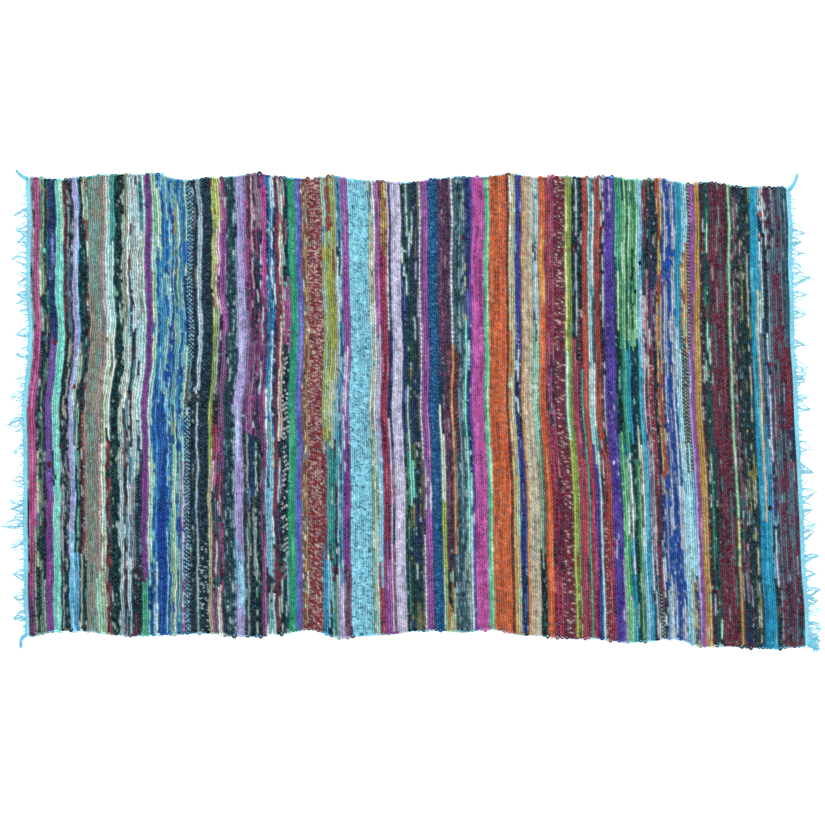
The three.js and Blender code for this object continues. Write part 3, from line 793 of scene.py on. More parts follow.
@dataclass
class MeshDraft:
    """A mesh being gathered: points in millimetres, faces, colours and texture places."""

    name: str
    points: list[np.ndarray] = field(default_factory=list)
    faces: list[tuple[int, ...]] = field(default_factory=list)
    colours: list[np.ndarray] = field(default_factory=list)
    weave: list[np.ndarray] = field(default_factory=list)
    bake: list[tuple[float, float]] = field(default_factory=list)
    count: int = 0

    def add_points(self, points: np.ndarray, colours: np.ndarray, weave: np.ndarray | None = None) -> int:
        """Add points.

        Args:
            points: X, Y and Z rows in millimetres.
            colours: Linear colours, one row each.
            weave: Pick and warp number of each point, where it lies in the weave.

        Returns:
            The number of the first of them.
        """
        start = self.count
        self.points.append(points)
        self.colours.append(np.broadcast_to(colours, points.shape))
        self.weave.append(np.zeros((len(points), 2)) if weave is None else weave)
        self.count += len(points)
        return start

    def tube(self, path: np.ndarray, radii: np.ndarray, sides: int, colours: np.ndarray) -> None:
        """Closed tube of rings along a path.

        Args:
            path: Centres in millimetres.
            radii: Radius at each centre.
            sides: Sides of each ring.
            colours: Linear colour at each centre.
        """
        ahead = np.gradient(path, axis=0)
        ahead /= np.linalg.norm(ahead, axis=1)[:, None] + 1e-9
        across = np.cross(ahead, (0.0, 0.0, 1.0))
        across /= np.linalg.norm(across, axis=1)[:, None] + 1e-9
        up = np.cross(across, ahead)
        turns = 2 * np.pi * (np.arange(sides) + 0.5) / sides
        ring = across[:, None] * np.cos(turns)[:, None] + up[:, None] * np.sin(turns)[:, None]
        points = path[:, None] + ring * np.asarray(radii)[:, None, None]
        points[..., 2] = np.maximum(points[..., 2], 0.0)
        shades = np.repeat(np.broadcast_to(colours, path.shape), sides, axis=0)
        start = self.add_points(points.reshape(-1, 3), shades)
        for r in range(len(path) - 1):
            for s in range(sides):
                a, b = start + r * sides + s, start + r * sides + (s + 1) % sides
                self.faces.append((a, b, b + sides, a + sides))
        self.faces.append(tuple(start + s for s in reversed(range(sides))))
        self.faces.append(tuple(start + (len(path) - 1) * sides + s for s in range(sides)))

    def build(self) -> bpy.types.Object:
        """The finished object at the origin, smooth all over.

        Returns:
            The object, linked to the scene.
        """
        points = np.concatenate(self.points) * MM
        mesh = bpy.data.meshes.new(self.name)
        mesh.from_pydata(points.tolist(), [], [list(face) for face in self.faces])
        mesh.polygons.foreach_set("use_smooth", np.ones(len(mesh.polygons), dtype=bool))
        colours = np.clip(np.concatenate(self.colours), 0, 1)
        layer = mesh.color_attributes.new("rag_colour", "FLOAT_COLOR", "POINT")
        layer.data.foreach_set("color", np.column_stack([colours, np.ones(len(colours))]).ravel())
        corners = np.empty(len(mesh.loops), dtype=np.int32)
        mesh.loops.foreach_get("vertex_index", corners)
        weave = mesh.uv_layers.new(name="weave")
        weave.uv.foreach_set("vector", np.concatenate(self.weave)[corners].ravel())
        if self.bake:
            bake = mesh.uv_layers.new(name="OFBake")
            bake.uv.foreach_set("vector", np.array(self.bake).ravel())
        mesh.update()
        piece = bpy.data.objects.new(self.name, mesh)
        bpy.context.scene.collection.objects.link(piece)
        return piece


def seat(
    piece: bpy.types.Object, nodes: tuple[str, ...], finish: bpy.types.Material
) -> bpy.types.Object:
    """Put a piece on the rug's body.

    Args:
        piece: The piece.
        nodes: The CAD nodes that it stands for.
        finish: Its material.

    Returns:
        The piece.
    """
    piece.data.materials.append(finish)
    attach(piece, "root")
    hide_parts(*nodes)
    return piece


@dataclass(frozen=True)
class TextureStrips:
    """Where a band's faces lie in its texture: upright strips side by side, as shares of its size."""

    top: tuple[float, float] = (0.005, 0.37)
    top_width: float = 0.355
    low: float = 0.735
    low_width: float = 0.215
    selvedge_walls: tuple[float, float] = (0.955, 0.966)
    valley_walls: tuple[float, float] = (0.977, 0.988)
    wall_width: float = 0.008
    foot: float = 0.01
    height: float = 0.98

    def up(self, step: int, steps: int) -> float:
        """How high in its strip one of so many even steps stands."""
        return self.foot + self.height * step / steps


@dataclass
class WovenCloth:
    """The cloth as closed bands side by side, each a block of picks between two valleys."""

    plan: WeavePlan
    bands: int = 8
    over_mm: float = 4.8
    under_mm: float = 3.9
    valley_mm: float = 2.6
    rim_mm: float = 2.4
    low_rim_mm: float = 1.0
    low_valley_mm: float = 1.1
    low_crest_mm: float = 0.7
    rim_beads: int = 3
    low_step: int = 3
    strips: TextureStrips = TextureStrips()
    # Painted shade: beads that pass under a warp are darkened in the mesh colours to stand for the shade
    # that falls on them.
    under_shade: float = 0.7
    # Painted shade: the valleys between picks are darkened in the mesh colours, more strongly beside
    # patterned picks.
    valley_shade: float = 0.5
    busy_shade: float = 0.28
    rough: float = 0.14
    rough_seed: int = 900
    valley_follow: float = 0.35
    gap_contrast: float = 0.8
    warp_glow: tuple[float, float, float] = (0.004, 0.017, 0.023)

    def surface(self, first: int, last: int) -> tuple[np.ndarray, np.ndarray, np.ndarray]:
        """Top of a block of picks.

        Args:
            first: Its first pick.
            last: The pick after its last one.

        Returns:
            Points, colours with painted shade on the under beads and in the valleys, and weave places,
            each as rows by columns.
        """
        plan = self.plan
        rows = np.arange(2 * first, 2 * last + 1)
        column = np.arange(plan.columns + 1)
        pick = np.clip(rows // 2, 0, plan.picks - 1)
        on_crest = rows % 2 == 1
        mids = 0.5 * (plan.edges[:-1] + plan.edges[1:])
        u = np.where(on_crest, mids[pick], plan.edges[np.clip(rows // 2, 0, plan.picks)])
        v = column / plan.columns
        x, y = plan.place(u[:, None], v[None, :])
        over = (pick[:, None] + column[None, :]) % 2 == 0
        crest = np.where(over, self.over_mm, self.under_mm) + plan.heights[pick]
        before = np.clip(pick - 1, 0, plan.picks - 1)
        valley = self.valley_mm + self.valley_follow * (plan.heights[pick] + plan.heights[before])
        z = np.where(on_crest[:, None], crest, valley)
        inset = np.minimum(column, plan.columns - column)
        rise = np.clip(inset / self.rim_beads, 0, 1)[None, :] ** 0.5
        z = self.rim_mm + (z - self.rim_mm) * rise
        rng = np.random.default_rng(first + self.rough_seed)
        rough = rng.uniform(-self.rough, self.rough, over.shape)
        # Painted shade: beads under a warp take a darker copy of the pick's colour, with random tone on
        # top.
        bead = plan.colours[pick] * (np.where(over, 1.0, self.under_shade) + rough)[..., None]
        # Painted shade in the valleys between picks: the neighbours' colours are darkened, more beside
        # patterned picks and unevenly over the cloth, and the warp's own blue is added.
        shade = np.where(plan.busy[pick] | plan.busy[before], self.busy_shade, self.valley_shade)
        painted_shade_depth = self.gap_contrast * PAINTED_GAP_SHADE.at(u[:, None], v[None, :])
        gap = shade[:, None] * (1 + painted_shade_depth + 2 * rough)
        valley_colour_with_painted_shade = 0.5 * (plan.colours[pick] + plan.colours[before]) * gap[..., None] + self.warp_glow
        colours = np.where(on_crest[:, None, None], bead, valley_colour_with_painted_shade)
        weave = np.stack(np.broadcast_arrays(rows[:, None] / 2, column[None, :] * 1.0), axis=-1)
        return np.stack([x, y, z], axis=-1), colours, weave

    def underside(self, points: np.ndarray, first: int) -> np.ndarray:
        """Bottom points below every few columns, its beads resting on the floor.

        Args:
            points: The top's points, as rows by columns.
            first: The block's first pick.

        Returns:
            The bottom's points, as rows by fewer columns.
        """
        low = points[:, :: self.low_step].copy()
        rows = np.arange(len(low)) + 2 * first
        column = np.arange(low.shape[1]) * self.low_step
        over = ((rows // 2)[:, None] + column[None, :]) % 2 == 0
        crest = np.where(over, self.low_crest_mm, 0.0)
        relief = np.where((rows % 2 == 1)[:, None], crest, self.low_valley_mm)
        rim = (column == 0) | (column == self.plan.columns)
        low[..., 2] = np.where(rim[None, :], self.low_rim_mm, relief)
        return low

    def band(self, index: int) -> MeshDraft:
        """One closed band of the cloth.

        Args:
            index: The band's number from the left end, starting at 0.

        Returns:
            The band's mesh.
        """
        first = round(index * self.plan.picks / self.bands)
        last = round((index + 1) * self.plan.picks / self.bands)
        top, colours, weave = self.surface(first, last)
        low = self.underside(top, first)
        draft = MeshDraft(f"weft_band_{index + 1}")
        t0 = draft.add_points(top.reshape(-1, 3), colours.reshape(-1, 3), weave.reshape(-1, 2))
        # The underside takes the top's colours, including the painted shade in the valleys and on the
        # under beads.
        low_colours = colours[:, :: self.low_step].reshape(-1, 3)
        low_weave = weave[:, :: self.low_step].reshape(-1, 2) + (0.0, 0.5)
        b0 = draft.add_points(low.reshape(-1, 3), low_colours, low_weave)
        rows, wide = top.shape[:2]
        slim = low.shape[1]
        self.top_faces(draft, t0, rows, wide)
        self.low_faces(draft, b0, rows, slim)
        self.walls(draft, t0, b0, (rows, wide, slim))
        return draft

    def top_faces(self, draft: MeshDraft, start: int, rows: int, wide: int) -> None:
        """Top faces, laid in the texture as two strips side by side.

        Args:
            draft: The mesh to add to.
            start: Number of the top's first point.
            rows: Rows of points.
            wide: Points in a row.
        """
        strips = self.strips
        half = (wide - 1) // 2
        for r in range(rows - 1):
            for c in range(wide - 1):
                a = start + r * wide + c
                draft.faces.append((a, a + 1, a + wide + 1, a + wide))
                base = strips.top[0] if c < half else strips.top[1]
                left = base + strips.top_width * r / (rows - 1)
                right = base + strips.top_width * (r + 1) / (rows - 1)
                y0 = strips.up(c % half, half)
                y1 = y0 + strips.height / half
                draft.bake += [(left, y0), (left, y1), (right, y1), (right, y0)]

    def low_faces(self, draft: MeshDraft, start: int, rows: int, slim: int) -> None:
        """Underside faces, laid in the texture as a third strip.

        Args:
            draft: The mesh to add to.
            start: Number of the underside's first point.
            rows: Rows of points.
            slim: Points in a row.
        """
        strips = self.strips
        for r in range(rows - 1):
            left = strips.low + strips.low_width * r / (rows - 1)
            right = strips.low + strips.low_width * (r + 1) / (rows - 1)
            for c in range(slim - 1):
                a = start + r * slim + c
                draft.faces.append((a, a + slim, a + slim + 1, a + 1))
                y0, y1 = strips.up(c, slim - 1), strips.up(c + 1, slim - 1)
                draft.bake += [(left, y0), (right, y0), (right, y1), (left, y1)]

    def walls(self, draft: MeshDraft, t0: int, b0: int, sizes: tuple[int, int, int]) -> None:
        """Side walls at the two selvedges and at the first and last valley.

        Args:
            draft: The mesh to add to.
            t0: Number of the top's first point.
            b0: Number of the underside's first point.
            sizes: Rows of points, points in a row of the top, points in a row of the underside.
        """
        rows, wide, slim = sizes
        strips, step = self.strips, self.low_step
        for r in range(rows - 1):
            y0, y1 = strips.up(r, rows - 1), strips.up(r + 1, rows - 1)
            for side, inner in enumerate(strips.selvedge_walls):
                outer = inner + strips.wall_width
                top = t0 + r * wide + side * (wide - 1)
                low = b0 + r * slim + side * (slim - 1)
                face = [(top, inner, y0), (top + wide, inner, y1)]
                face += [(low + slim, outer, y1), (low, outer, y0)]
                draft_face(draft, face if side == 0 else face[::-1])
        for r, inner in zip((0, rows - 1), strips.valley_walls):
            outer = inner + strips.wall_width
            for c in range(slim - 1):
                low = b0 + r * slim + c
                tops = [t0 + r * wide + step * c + k for k in range(step + 1)]
                ys = [strips.up(step * c + k, wide - 1) for k in range(step + 1)]
                foot = (low, outer, ys[0])
                rim = [(top, inner, y) for top, y in zip(tops, ys)]
                fans = [[foot, rim[k + 1], rim[k]] for k in range(step)]
                fans.append([foot, (low + 1, outer, ys[step]), rim[step]])
                for fan in fans:
                    draft_face(draft, fan if r == 0 else fan[::-1])

    def build(self, finish: bpy.types.Material) -> list[bpy.types.Object]:
        """All bands, dressed and seated.

        Args:
            finish: The cloth's material.

        Returns:
            The bands from the left end to the right end.
        """
        pieces = []
        for index in range(self.bands):
            piece = self.band(index).build()
            seat(piece, ("rug_cloth",), finish)
            pieces.append(piece)
            LOG.info("%s: %d faces", piece.name, len(piece.data.polygons))
        return pieces


def draft_face(draft: MeshDraft, corners: list[tuple[int, float, float]]) -> None:
    """Add one face whose corners are a point's number and its texture place."""
    draft.faces.append(tuple(corner[0] for corner in corners))
    draft.bake += [(corner[1], corner[2]) for corner in corners]


@dataclass
class Selvedges:
    """Along each long side, a twisted warp cord with the turning rags looped round it."""

    plan: WeavePlan
    cord_radius_mm: float = 1.6
    cord_height_mm: float = 2.4
    ply_mm: float = 0.8
    twist_per_pick: float = 1.9
    loop_radius_mm: float = 1.75
    loop_height_mm: float = 2.9
    reach_mm: float = 4.0
    tuck_mm: float = 1.2
    proud: float = 1.6
    proud_share: float = 0.25
    cord_blue: str = "74C2DA"
    lump_half: float = 0.0022
    lumps: tuple[tuple[float, int, float], ...] = (
        *((0.113, 0, 3), (0.306, 0, 6), (0.414, 1, 6), (0.515, 1, 4), (0.594, 1, 8)),
        *((0.631, 0, 4), (0.672, 0, 4), (0.818, 0, 5), (0.832, 0, 5)),
    )

    def rim(self, u: np.ndarray, side: int) -> tuple[np.ndarray, np.ndarray]:
        """The cloth's edge at the far (0) or near (1) selvedge."""
        return self.plan.place(u, np.full(len(u), float(side)))

    def cord(self, draft: MeshDraft, first: int, last: int, side: int) -> None:
        """Two plies twisted round each other along a stretch of edge.

        Args:
            draft: The mesh to add to.
            first: The stretch's first pick.
            last: Its last pick.
            side: The far (0) or near (1) selvedge.
        """
        out = 1 if side == 0 else -1
        steps = np.arange(first, last + 0.01, 0.5)
        u = np.interp(steps, np.arange(self.plan.picks + 1), self.plan.edges)
        x, y = self.rim(u, side)
        blue = np.array(linear(self.cord_blue))
        for ply in (0, 1):
            turn = steps * self.twist_per_pick + ply * np.pi
            stray = 1.3 + 0.9 * np.sin(steps * 0.83) * np.sin(steps * 0.31 + side)
            aside = y + out * stray + self.ply_mm * np.cos(turn)
            path = np.column_stack([x, aside, self.cord_height_mm + self.ply_mm * np.sin(turn)])
            tone = 0.92 + 0.1 * np.sin(steps * 0.7 + ply)
            draft.tube(path, np.full(len(u), self.cord_radius_mm * 0.66), 5, blue * tone[:, None])

    def loop(self, draft: MeshDraft, pick: int, side: int, rng: np.random.Generator) -> None:
        """One rag's turn from a pick to the next, round the cord.

        Args:
            draft: The mesh to add to.
            pick: The pick that it comes from.
            side: The far (0) or near (1) selvedge.
            rng: Seeded source.
        """
        plan = self.plan
        out = 1 if side == 0 else -1
        middle = plan.edges[pick + 1]
        lumps_here = [
            reach
            for at, edge, reach in self.lumps
            if edge == side and abs(at - middle) < self.lump_half
        ]
        lump = max([0, *lumps_here])
        proud = self.proud if rng.random() < self.proud_share else 1.0
        reach = max(lump, self.reach_mm * proud * (0.4 + 0.75 * rng.random()))
        span = 0.8 * (plan.edges[[pick, pick + 2]].mean() - plan.edges[pick])
        turn = np.linspace(-0.5, 0.5, 6) * np.pi
        u = middle + span * np.sin(turn)
        x, y = self.rim(np.clip(u, 0, 1), side)
        bulge = out * ((reach - self.tuck_mm) * np.cos(turn) - self.tuck_mm * (1 - np.cos(turn)))
        z = self.loop_height_mm + np.cos(turn) * (1 if rng.random() < 0.7 else -0.8)
        colour = plan.colours[pick, -2 if side else 1] * (0.86 + 0.2 * rng.random())
        thick = self.loop_radius_mm * (0.85 + 0.35 * rng.random()) * (0.85 + 0.15 * proud + 0.06 * lump)
        draft.tube(np.column_stack([x, y + bulge, z]), thick * (0.75 + 0.25 * np.cos(turn)), 6, colour)

    def build(self, rag: bpy.types.Material, warp: bpy.types.Material) -> list[bpy.types.Object]:
        """Cords and loops, in two halves on each side.

        Args:
            rag: The loops' material.
            warp: The cords' material.

        Returns:
            The pieces, far side first.
        """
        pieces = []
        rng = np.random.default_rng(21)
        half = self.plan.picks // 2
        for side, side_name in ((0, "far"), (1, "near")):
            for part, (first, last) in enumerate(((0, half), (half, self.plan.picks)), 1):
                cord = MeshDraft(f"selvedge_cord_{side_name}_{part}")
                self.cord(cord, first, last, side)
                pieces.append(seat(cord.build(), ("rug_cloth",), warp))
                loops = MeshDraft(f"selvedge_loops_{side_name}_{part}")
                for pick in range(first + (first + side) % 2, min(last, self.plan.picks - 2), 2):
                    self.loop(loops, pick, side, rng)
                pieces.append(seat(loops.build(), ("rug_cloth",), rag))
        return pieces


@dataclass
class EndHeading:
    """The warp's close-woven heading at one end, with the warp ends that hang out of it.

    Places along the end that are given in px run from far_px at the far selvedge over span_px to
    the near one. short_ends_px holds the first place, the last and the step between two short ends.
    """

    outline: Outline
    side: int
    tufts_px: tuple[float, ...]
    long_tufts_px: tuple[float, ...]
    width_mm: float = 8
    columns: int = 420
    rows: int = 10
    low_step: int = 4
    tuck_mm: float = 1.0
    overhang_mm: float = 0.8
    height_mm: float = 2.5
    edge_height_mm: float = 1.4
    ridge_mm: tuple[float, float] = (0.45, -0.25)
    heading_blue: str = "84CADC"
    thread_mm: float = 0.88
    thread_blue: str = "84C8DE"
    reach_mm: float = 23.0
    long_reach_mm: float = 33.0
    fewest_threads: int = 4
    more_threads: int = 5
    spread: float = 0.015
    spread_mm: float = 900
    far_px: float = 180.5
    span_px: float = 454.4
    short_ends_px: tuple[float, float, float] = (188, 632, 3.0)

    @property
    def name(self) -> str:
        """Left or right."""
        return "left" if self.side < 0 else "right"

    def heading(self) -> MeshDraft:
        """A thin strip of fine picks between the cloth and the fringe.

        Returns:
            The heading's mesh.
        """
        draft = MeshDraft(f"heading_{self.name}")
        rng = np.random.default_rng(31 + self.side)
        v = np.arange(self.columns + 1) / self.columns
        top = np.array([self.heading_row(rng, v, row) for row in range(self.rows + 1)])
        tone = 0.84 + 0.22 * rng.random(top.shape[:2]) + 0.08 * np.sin(40 * v)[None]
        colours = np.array(linear(self.heading_blue)) * tone[..., None]
        low = top[:, :: self.low_step].copy()
        low[..., 2] = 0.0
        t0 = draft.add_points(top.reshape(-1, 3), colours.reshape(-1, 3))
        b0 = draft.add_points(low.reshape(-1, 3), colours[:, :: self.low_step].reshape(-1, 3))
        faces = self.heading_faces(t0, b0, low.shape[1])
        draft.faces += faces if self.side > 0 else [face[::-1] for face in faces]
        return draft

    def heading_row(self, rng: np.random.Generator, v: np.ndarray, row: int) -> np.ndarray:
        """One pick of the heading, the outermost one ragged.

        Args:
            rng: Seeded source.
            v: Shares of the way from the far selvedge to the near one.
            row: The pick's number from the cloth outwards.

        Returns:
            Points in millimetres.
        """
        out = -self.tuck_mm + (self.width_mm + self.overhang_mm) * row / self.rows
        ragged = 0.5 * np.sin(v * 90) + 0.4 * rng.normal(0, 1, len(v)) if row == self.rows else 0
        x, y = self.outline.end_line(self.side, v, out)
        ridge = np.where((np.arange(len(v)) + row) % 2 == 0, *self.ridge_mm)
        height = self.height_mm if 0 < row < self.rows else self.edge_height_mm
        z = np.full(len(v), height) + ridge
        return np.column_stack([x + self.side * ragged, y, z])

    def heading_faces(self, t0: int, b0: int, slim: int) -> list[tuple[int, ...]]:
        """Faces of the heading's top, underside and walls.

        Args:
            t0: Number of the top's first point.
            b0: Number of the underside's first point.
            slim: Points in a row of the underside.

        Returns:
            The faces, facing outwards at the right end.
        """
        rows, wide, step = self.rows, self.columns, self.low_step
        faces = []
        for r in range(rows):
            for c in range(wide):
                a = t0 + r * (wide + 1) + c
                faces.append((a, a + 1, a + wide + 2, a + wide + 1))
            for c in range(slim - 1):
                a = b0 + r * slim + c
                faces.append((a, a + slim, a + slim + 1, a + 1))
            for c, k in ((0, 0), (wide, slim - 1)):
                a, b = t0 + r * (wide + 1) + c, b0 + r * slim + k
                face = (a, a + wide + 1, b + slim, b)
                faces.append(face if c == 0 else face[::-1])
        for r in (0, rows):
            for c in range(slim - 1):
                low = b0 + r * slim + c
                tops = [t0 + r * (wide + 1) + step * c + k for k in range(step + 1)]
                fan = [(low, tops[k + 1], tops[k]) for k in range(step)]
                fan.append((low, low + 1, tops[step]))
                faces += [face if r == 0 else face[::-1] for face in fan]
        return faces

    def fringe(self) -> MeshDraft:
        """Warp ends in uneven tufts, each drawn together to a tip, with short ends between.

        Returns:
            The fringe's mesh.
        """
        draft = MeshDraft(f"fringe_{self.name}")
        rng = np.random.default_rng(41 + self.side)
        tufts = [(px, self.reach_mm) for px in self.tufts_px]
        tufts += [(px, self.long_reach_mm) for px in self.long_tufts_px]
        for px, reach in tufts:
            v = (px - self.far_px) / self.span_px
            reach *= 0.8 + 0.5 * rng.random()
            tip = (reach, rng.normal(0, 5.0))
            for _ in range(self.fewest_threads + int(rng.integers(0, self.more_threads))):
                aside = rng.uniform(-self.spread, self.spread)
                reach_out = tip[0] * rng.uniform(0.8, 1.1)
                stray = (reach_out, tip[1] + aside * self.spread_mm + rng.normal(0, 1.2))
                self.thread(draft, v + aside, stray, rng)
        for px in np.arange(*self.short_ends_px):
            v = (px - self.far_px) / self.span_px + rng.normal(0, 0.002)
            self.thread(draft, v, (3 + 12 * rng.random() ** 1.6, rng.normal(0, 4.0)), rng)
        return draft

    def thread(
        self, draft: MeshDraft, v: float, tip: tuple[float, float], rng: np.random.Generator
    ) -> None:
        """One thin warp end lying on the floor.

        Args:
            draft: The mesh to add to.
            v: Its root's share of the way from the far selvedge to the near one.
            tip: How far its tip lies out of the heading and towards +Y, in millimetres.
            rng: Seeded source.
        """
        t = np.linspace(0, 1, 11)
        x0, y0 = self.outline.end_line(self.side, min(max(v, 0.004), 0.996), self.width_mm - 1.6)
        out, aside = tip[0] + 1.6, tip[1]
        bow = rng.normal(0, 0.15) * out
        wave = 0.5 * np.sin(t * out * 0.5 + rng.random() * 6) * np.minimum(3 * t, 1)
        y = y0 + aside * t**1.4 + bow * np.sin(np.pi * t) + wave
        x = x0 + self.side * out * (t - 0.12 * np.sin(np.pi * t) * rng.random())
        z = np.interp(t, [0, 0.25, 1], [1.6, 1.0 + 0.6 * rng.random(), 0.5])
        blue = np.array(linear(self.thread_blue)) * (0.75 + 0.35 * rng.random())
        girth = self.thread_mm * np.interp(t, [0, 0.8, 1], [1.1, 0.95, 0.5])
        draft.tube(np.column_stack([x, y, z]), girth, 4, blue)

    def build(self, warp: bpy.types.Material) -> list[bpy.types.Object]:
        """The heading and its fringe, dressed and seated.

        Args:
            warp: Their material.

        Returns:
            The two pieces.
        """
        node = f"end_fringe_{self.name}"
        drafts = (self.heading(), self.fringe())
        return [seat(draft.build(), (node,), warp) for draft in drafts]


@dataclass(frozen=True)
class TasselShape:
    """A corner tassel: its corner, its course in degrees, its length and its frayed strands."""

    u: int
    v: int
    root_angle: float
    end_angle: float
    length_mm: float
    strands: int
    spread: float
    strand_mm: float


TASSELS = (
    TasselShape(0, 0, 158, 128, 20, 3, 30, 6),
    TasselShape(1, 0, 46, 70, 20, 3, 18, 12),
    TasselShape(0, 1, 204, 272, 17, 3, 20, 11),
    TasselShape(1, 1, -18, -34, 8, 5, 92, 11),
)


@dataclass
class CornerTassel:
    """Selvedge warps gathered at a corner, twisted in plies and frayed at the end."""

    outline: Outline
    number: int
    shape: TasselShape
    root_radius_mm: float = 4.2
    end_radius_mm: float = 2.6
    plies: int = 4
    twist: float = 0.34
    steps: int = 18
    overlap_mm: float = 2.5
    blue: str = "74C4DD"

    def course(self) -> tuple[np.ndarray, np.ndarray]:
        """Way from the corner to the tassel's end.

        Returns:
            Centres in millimetres, and the directions there in radians.
        """
        shape = self.shape
        side = -1 if shape.u == 0 else 1
        x, y = self.outline.on_cloth(shape.u, shape.v)
        angles = np.radians(np.linspace(shape.root_angle, shape.end_angle, self.steps))
        heading_end = self.outline.gap + self.outline.heading_width
        start = np.array([float(x) + side * heading_end, float(y)])
        towards = np.column_stack([np.cos(angles), np.sin(angles)])
        steps = towards * shape.length_mm / (self.steps - 1)
        walked = np.vstack([[0, 0], np.cumsum(steps[:-1], axis=0)])
        centres = start + walked + towards[0] * self.outline.gap
        root = centres[0] - self.overlap_mm * np.array([np.cos(angles[0]), np.sin(angles[0])])
        return np.vstack([root, centres]), np.append(angles[0], angles)

    def build(self, finish: bpy.types.Material) -> bpy.types.Object:
        """The tassel as one piece, dressed and seated.

        Args:
            finish: Its material.

        Returns:
            The piece.
        """
        draft = MeshDraft(f"tassel_{self.number}")
        rng = np.random.default_rng(60 + self.number)
        centres, angles = self.course()
        across = np.column_stack([-np.sin(angles), np.cos(angles)])
        self.twist_plies(draft, rng, centres, across)
        self.fray(draft, rng, (centres[-1], across[-1], angles[-1]))
        return seat(draft.build(), (f"corner_tassel_{self.number}",), finish)

    def twist_plies(
        self, draft: MeshDraft, rng: np.random.Generator, centres: np.ndarray, across: np.ndarray
    ) -> None:
        """Plies twisted round each other along the tassel.

        Args:
            draft: The mesh to add to.
            rng: Seeded source.
            centres: The tassel's way in millimetres.
            across: Its direction to the left at each of them.
        """
        blue = np.array(linear(self.blue))
        t = np.linspace(0, 1, len(centres))
        girth = self.root_radius_mm + (self.end_radius_mm - self.root_radius_mm) * t
        off = 0.52 * girth
        for ply in range(self.plies):
            turn = 2 * np.pi * ply / self.plies + self.twist * self.shape.length_mm * t
            lift = np.maximum(girth * 0.95 + off * np.sin(turn), girth * 0.45)
            path = np.column_stack([centres + across * (off * np.cos(turn))[:, None], lift])
            tone = 0.85 + 0.2 * rng.random(len(centres))
            draft.tube(path, girth * 0.52, 8, blue * tone[:, None])

    def fray(
        self, draft: MeshDraft, rng: np.random.Generator, end: tuple[np.ndarray, np.ndarray, float]
    ) -> None:
        """Loose strands that fan out of the tassel's end.

        Args:
            draft: The mesh to add to.
            rng: Seeded source.
            end: The end's centre, its direction to the left, and its direction in radians.
        """
        shape = self.shape
        blue = np.array(linear(self.blue))
        centre, across, ahead_angle = end
        for strand in range(shape.strands * 5):
            share = rng.random() - 0.5
            angle = ahead_angle + math.radians(shape.spread) * share * 1.1
            length = shape.strand_mm * (0.6 + 0.65 * uneven(strand, shape.end_angle))
            s = np.linspace(0, 1, 8)
            ahead = np.array([math.cos(angle), math.sin(angle)])
            aside = np.array([-ahead[1], ahead[0]])
            root = centre + across * share * self.end_radius_mm * 1.3 - ahead * 2
            wave = 0.7 * np.sin(s * 5 + rng.random() * 6) * s
            flat = root + ahead * ((length + 2) * s)[:, None] + aside * wave[:, None]
            z = np.interp(s, [0, 1], [1.2 + 2 * rng.random(), 0.6 + 0.8 * rng.random()])
            tone = 0.8 + 0.3 * rng.random()
            draft.tube(np.column_stack([flat, z]), 0.62 * (1 - 0.45 * s), 4, blue * tone)


@dataclass(frozen=True)
class Knot:
    """A knotted or tufted rag end on the weave: its place, size and rag."""

    u: float
    v: float
    size_mm: float
    rag: str


KNOTS = (
    Knot(0.019, 0.157, 6.8, "mint"),
    Knot(0.029, 0.36, 8.1, "red_knot"),
    Knot(0.028, 0.63, 8.8, "dark_red"),
    Knot(0.071, 0.096, 6.1, "red_knot"),
    Knot(0.08, 0.357, 6.5, "slate"),
    Knot(0.062, 0.461, 6.8, "brick"),
    Knot(0.184, 0.245, 6.1, "pale_blue"),
    Knot(0.238, 0.248, 6.1, "black_knot"),
    Knot(0.34, 0.331, 6.1, "emerald"),
    Knot(0.306, 0.608, 6.8, "coal"),
    Knot(0.758, 0.791, 6.1, "red_knot"),
    Knot(0.752, 0.56, 5.4, "rust"),
    Knot(0.763, 0.615, 6.0, "pale_lilac"),
    Knot(0.777, 0.908, 6.0, "pale_lilac"),
    Knot(0.571, 0.131, 6.1, "dark_red"),
    Knot(0.707, 0.157, 5.4, "yellow_knot"),
    Knot(0.724, 0.208, 6.1, "black_knot"),
    Knot(0.806, 0.179, 6.1, "black_knot"),
    Knot(0.799, 0.241, 5.4, "black_knot"),
    Knot(0.964, 0.058, 7.0, "rust"),
    Knot(0.963, 0.697, 7.4, "coal"),
    Knot(0.972, 0.384, 6.1, "red_knot"),
    Knot(0.994, 0.604, 6.1, "crimson"),
    Knot(0.938, 0.24, 5.4, "yellow_knot"),
    Knot(0.94, 0.53, 4.7, "yellow_knot"),
)


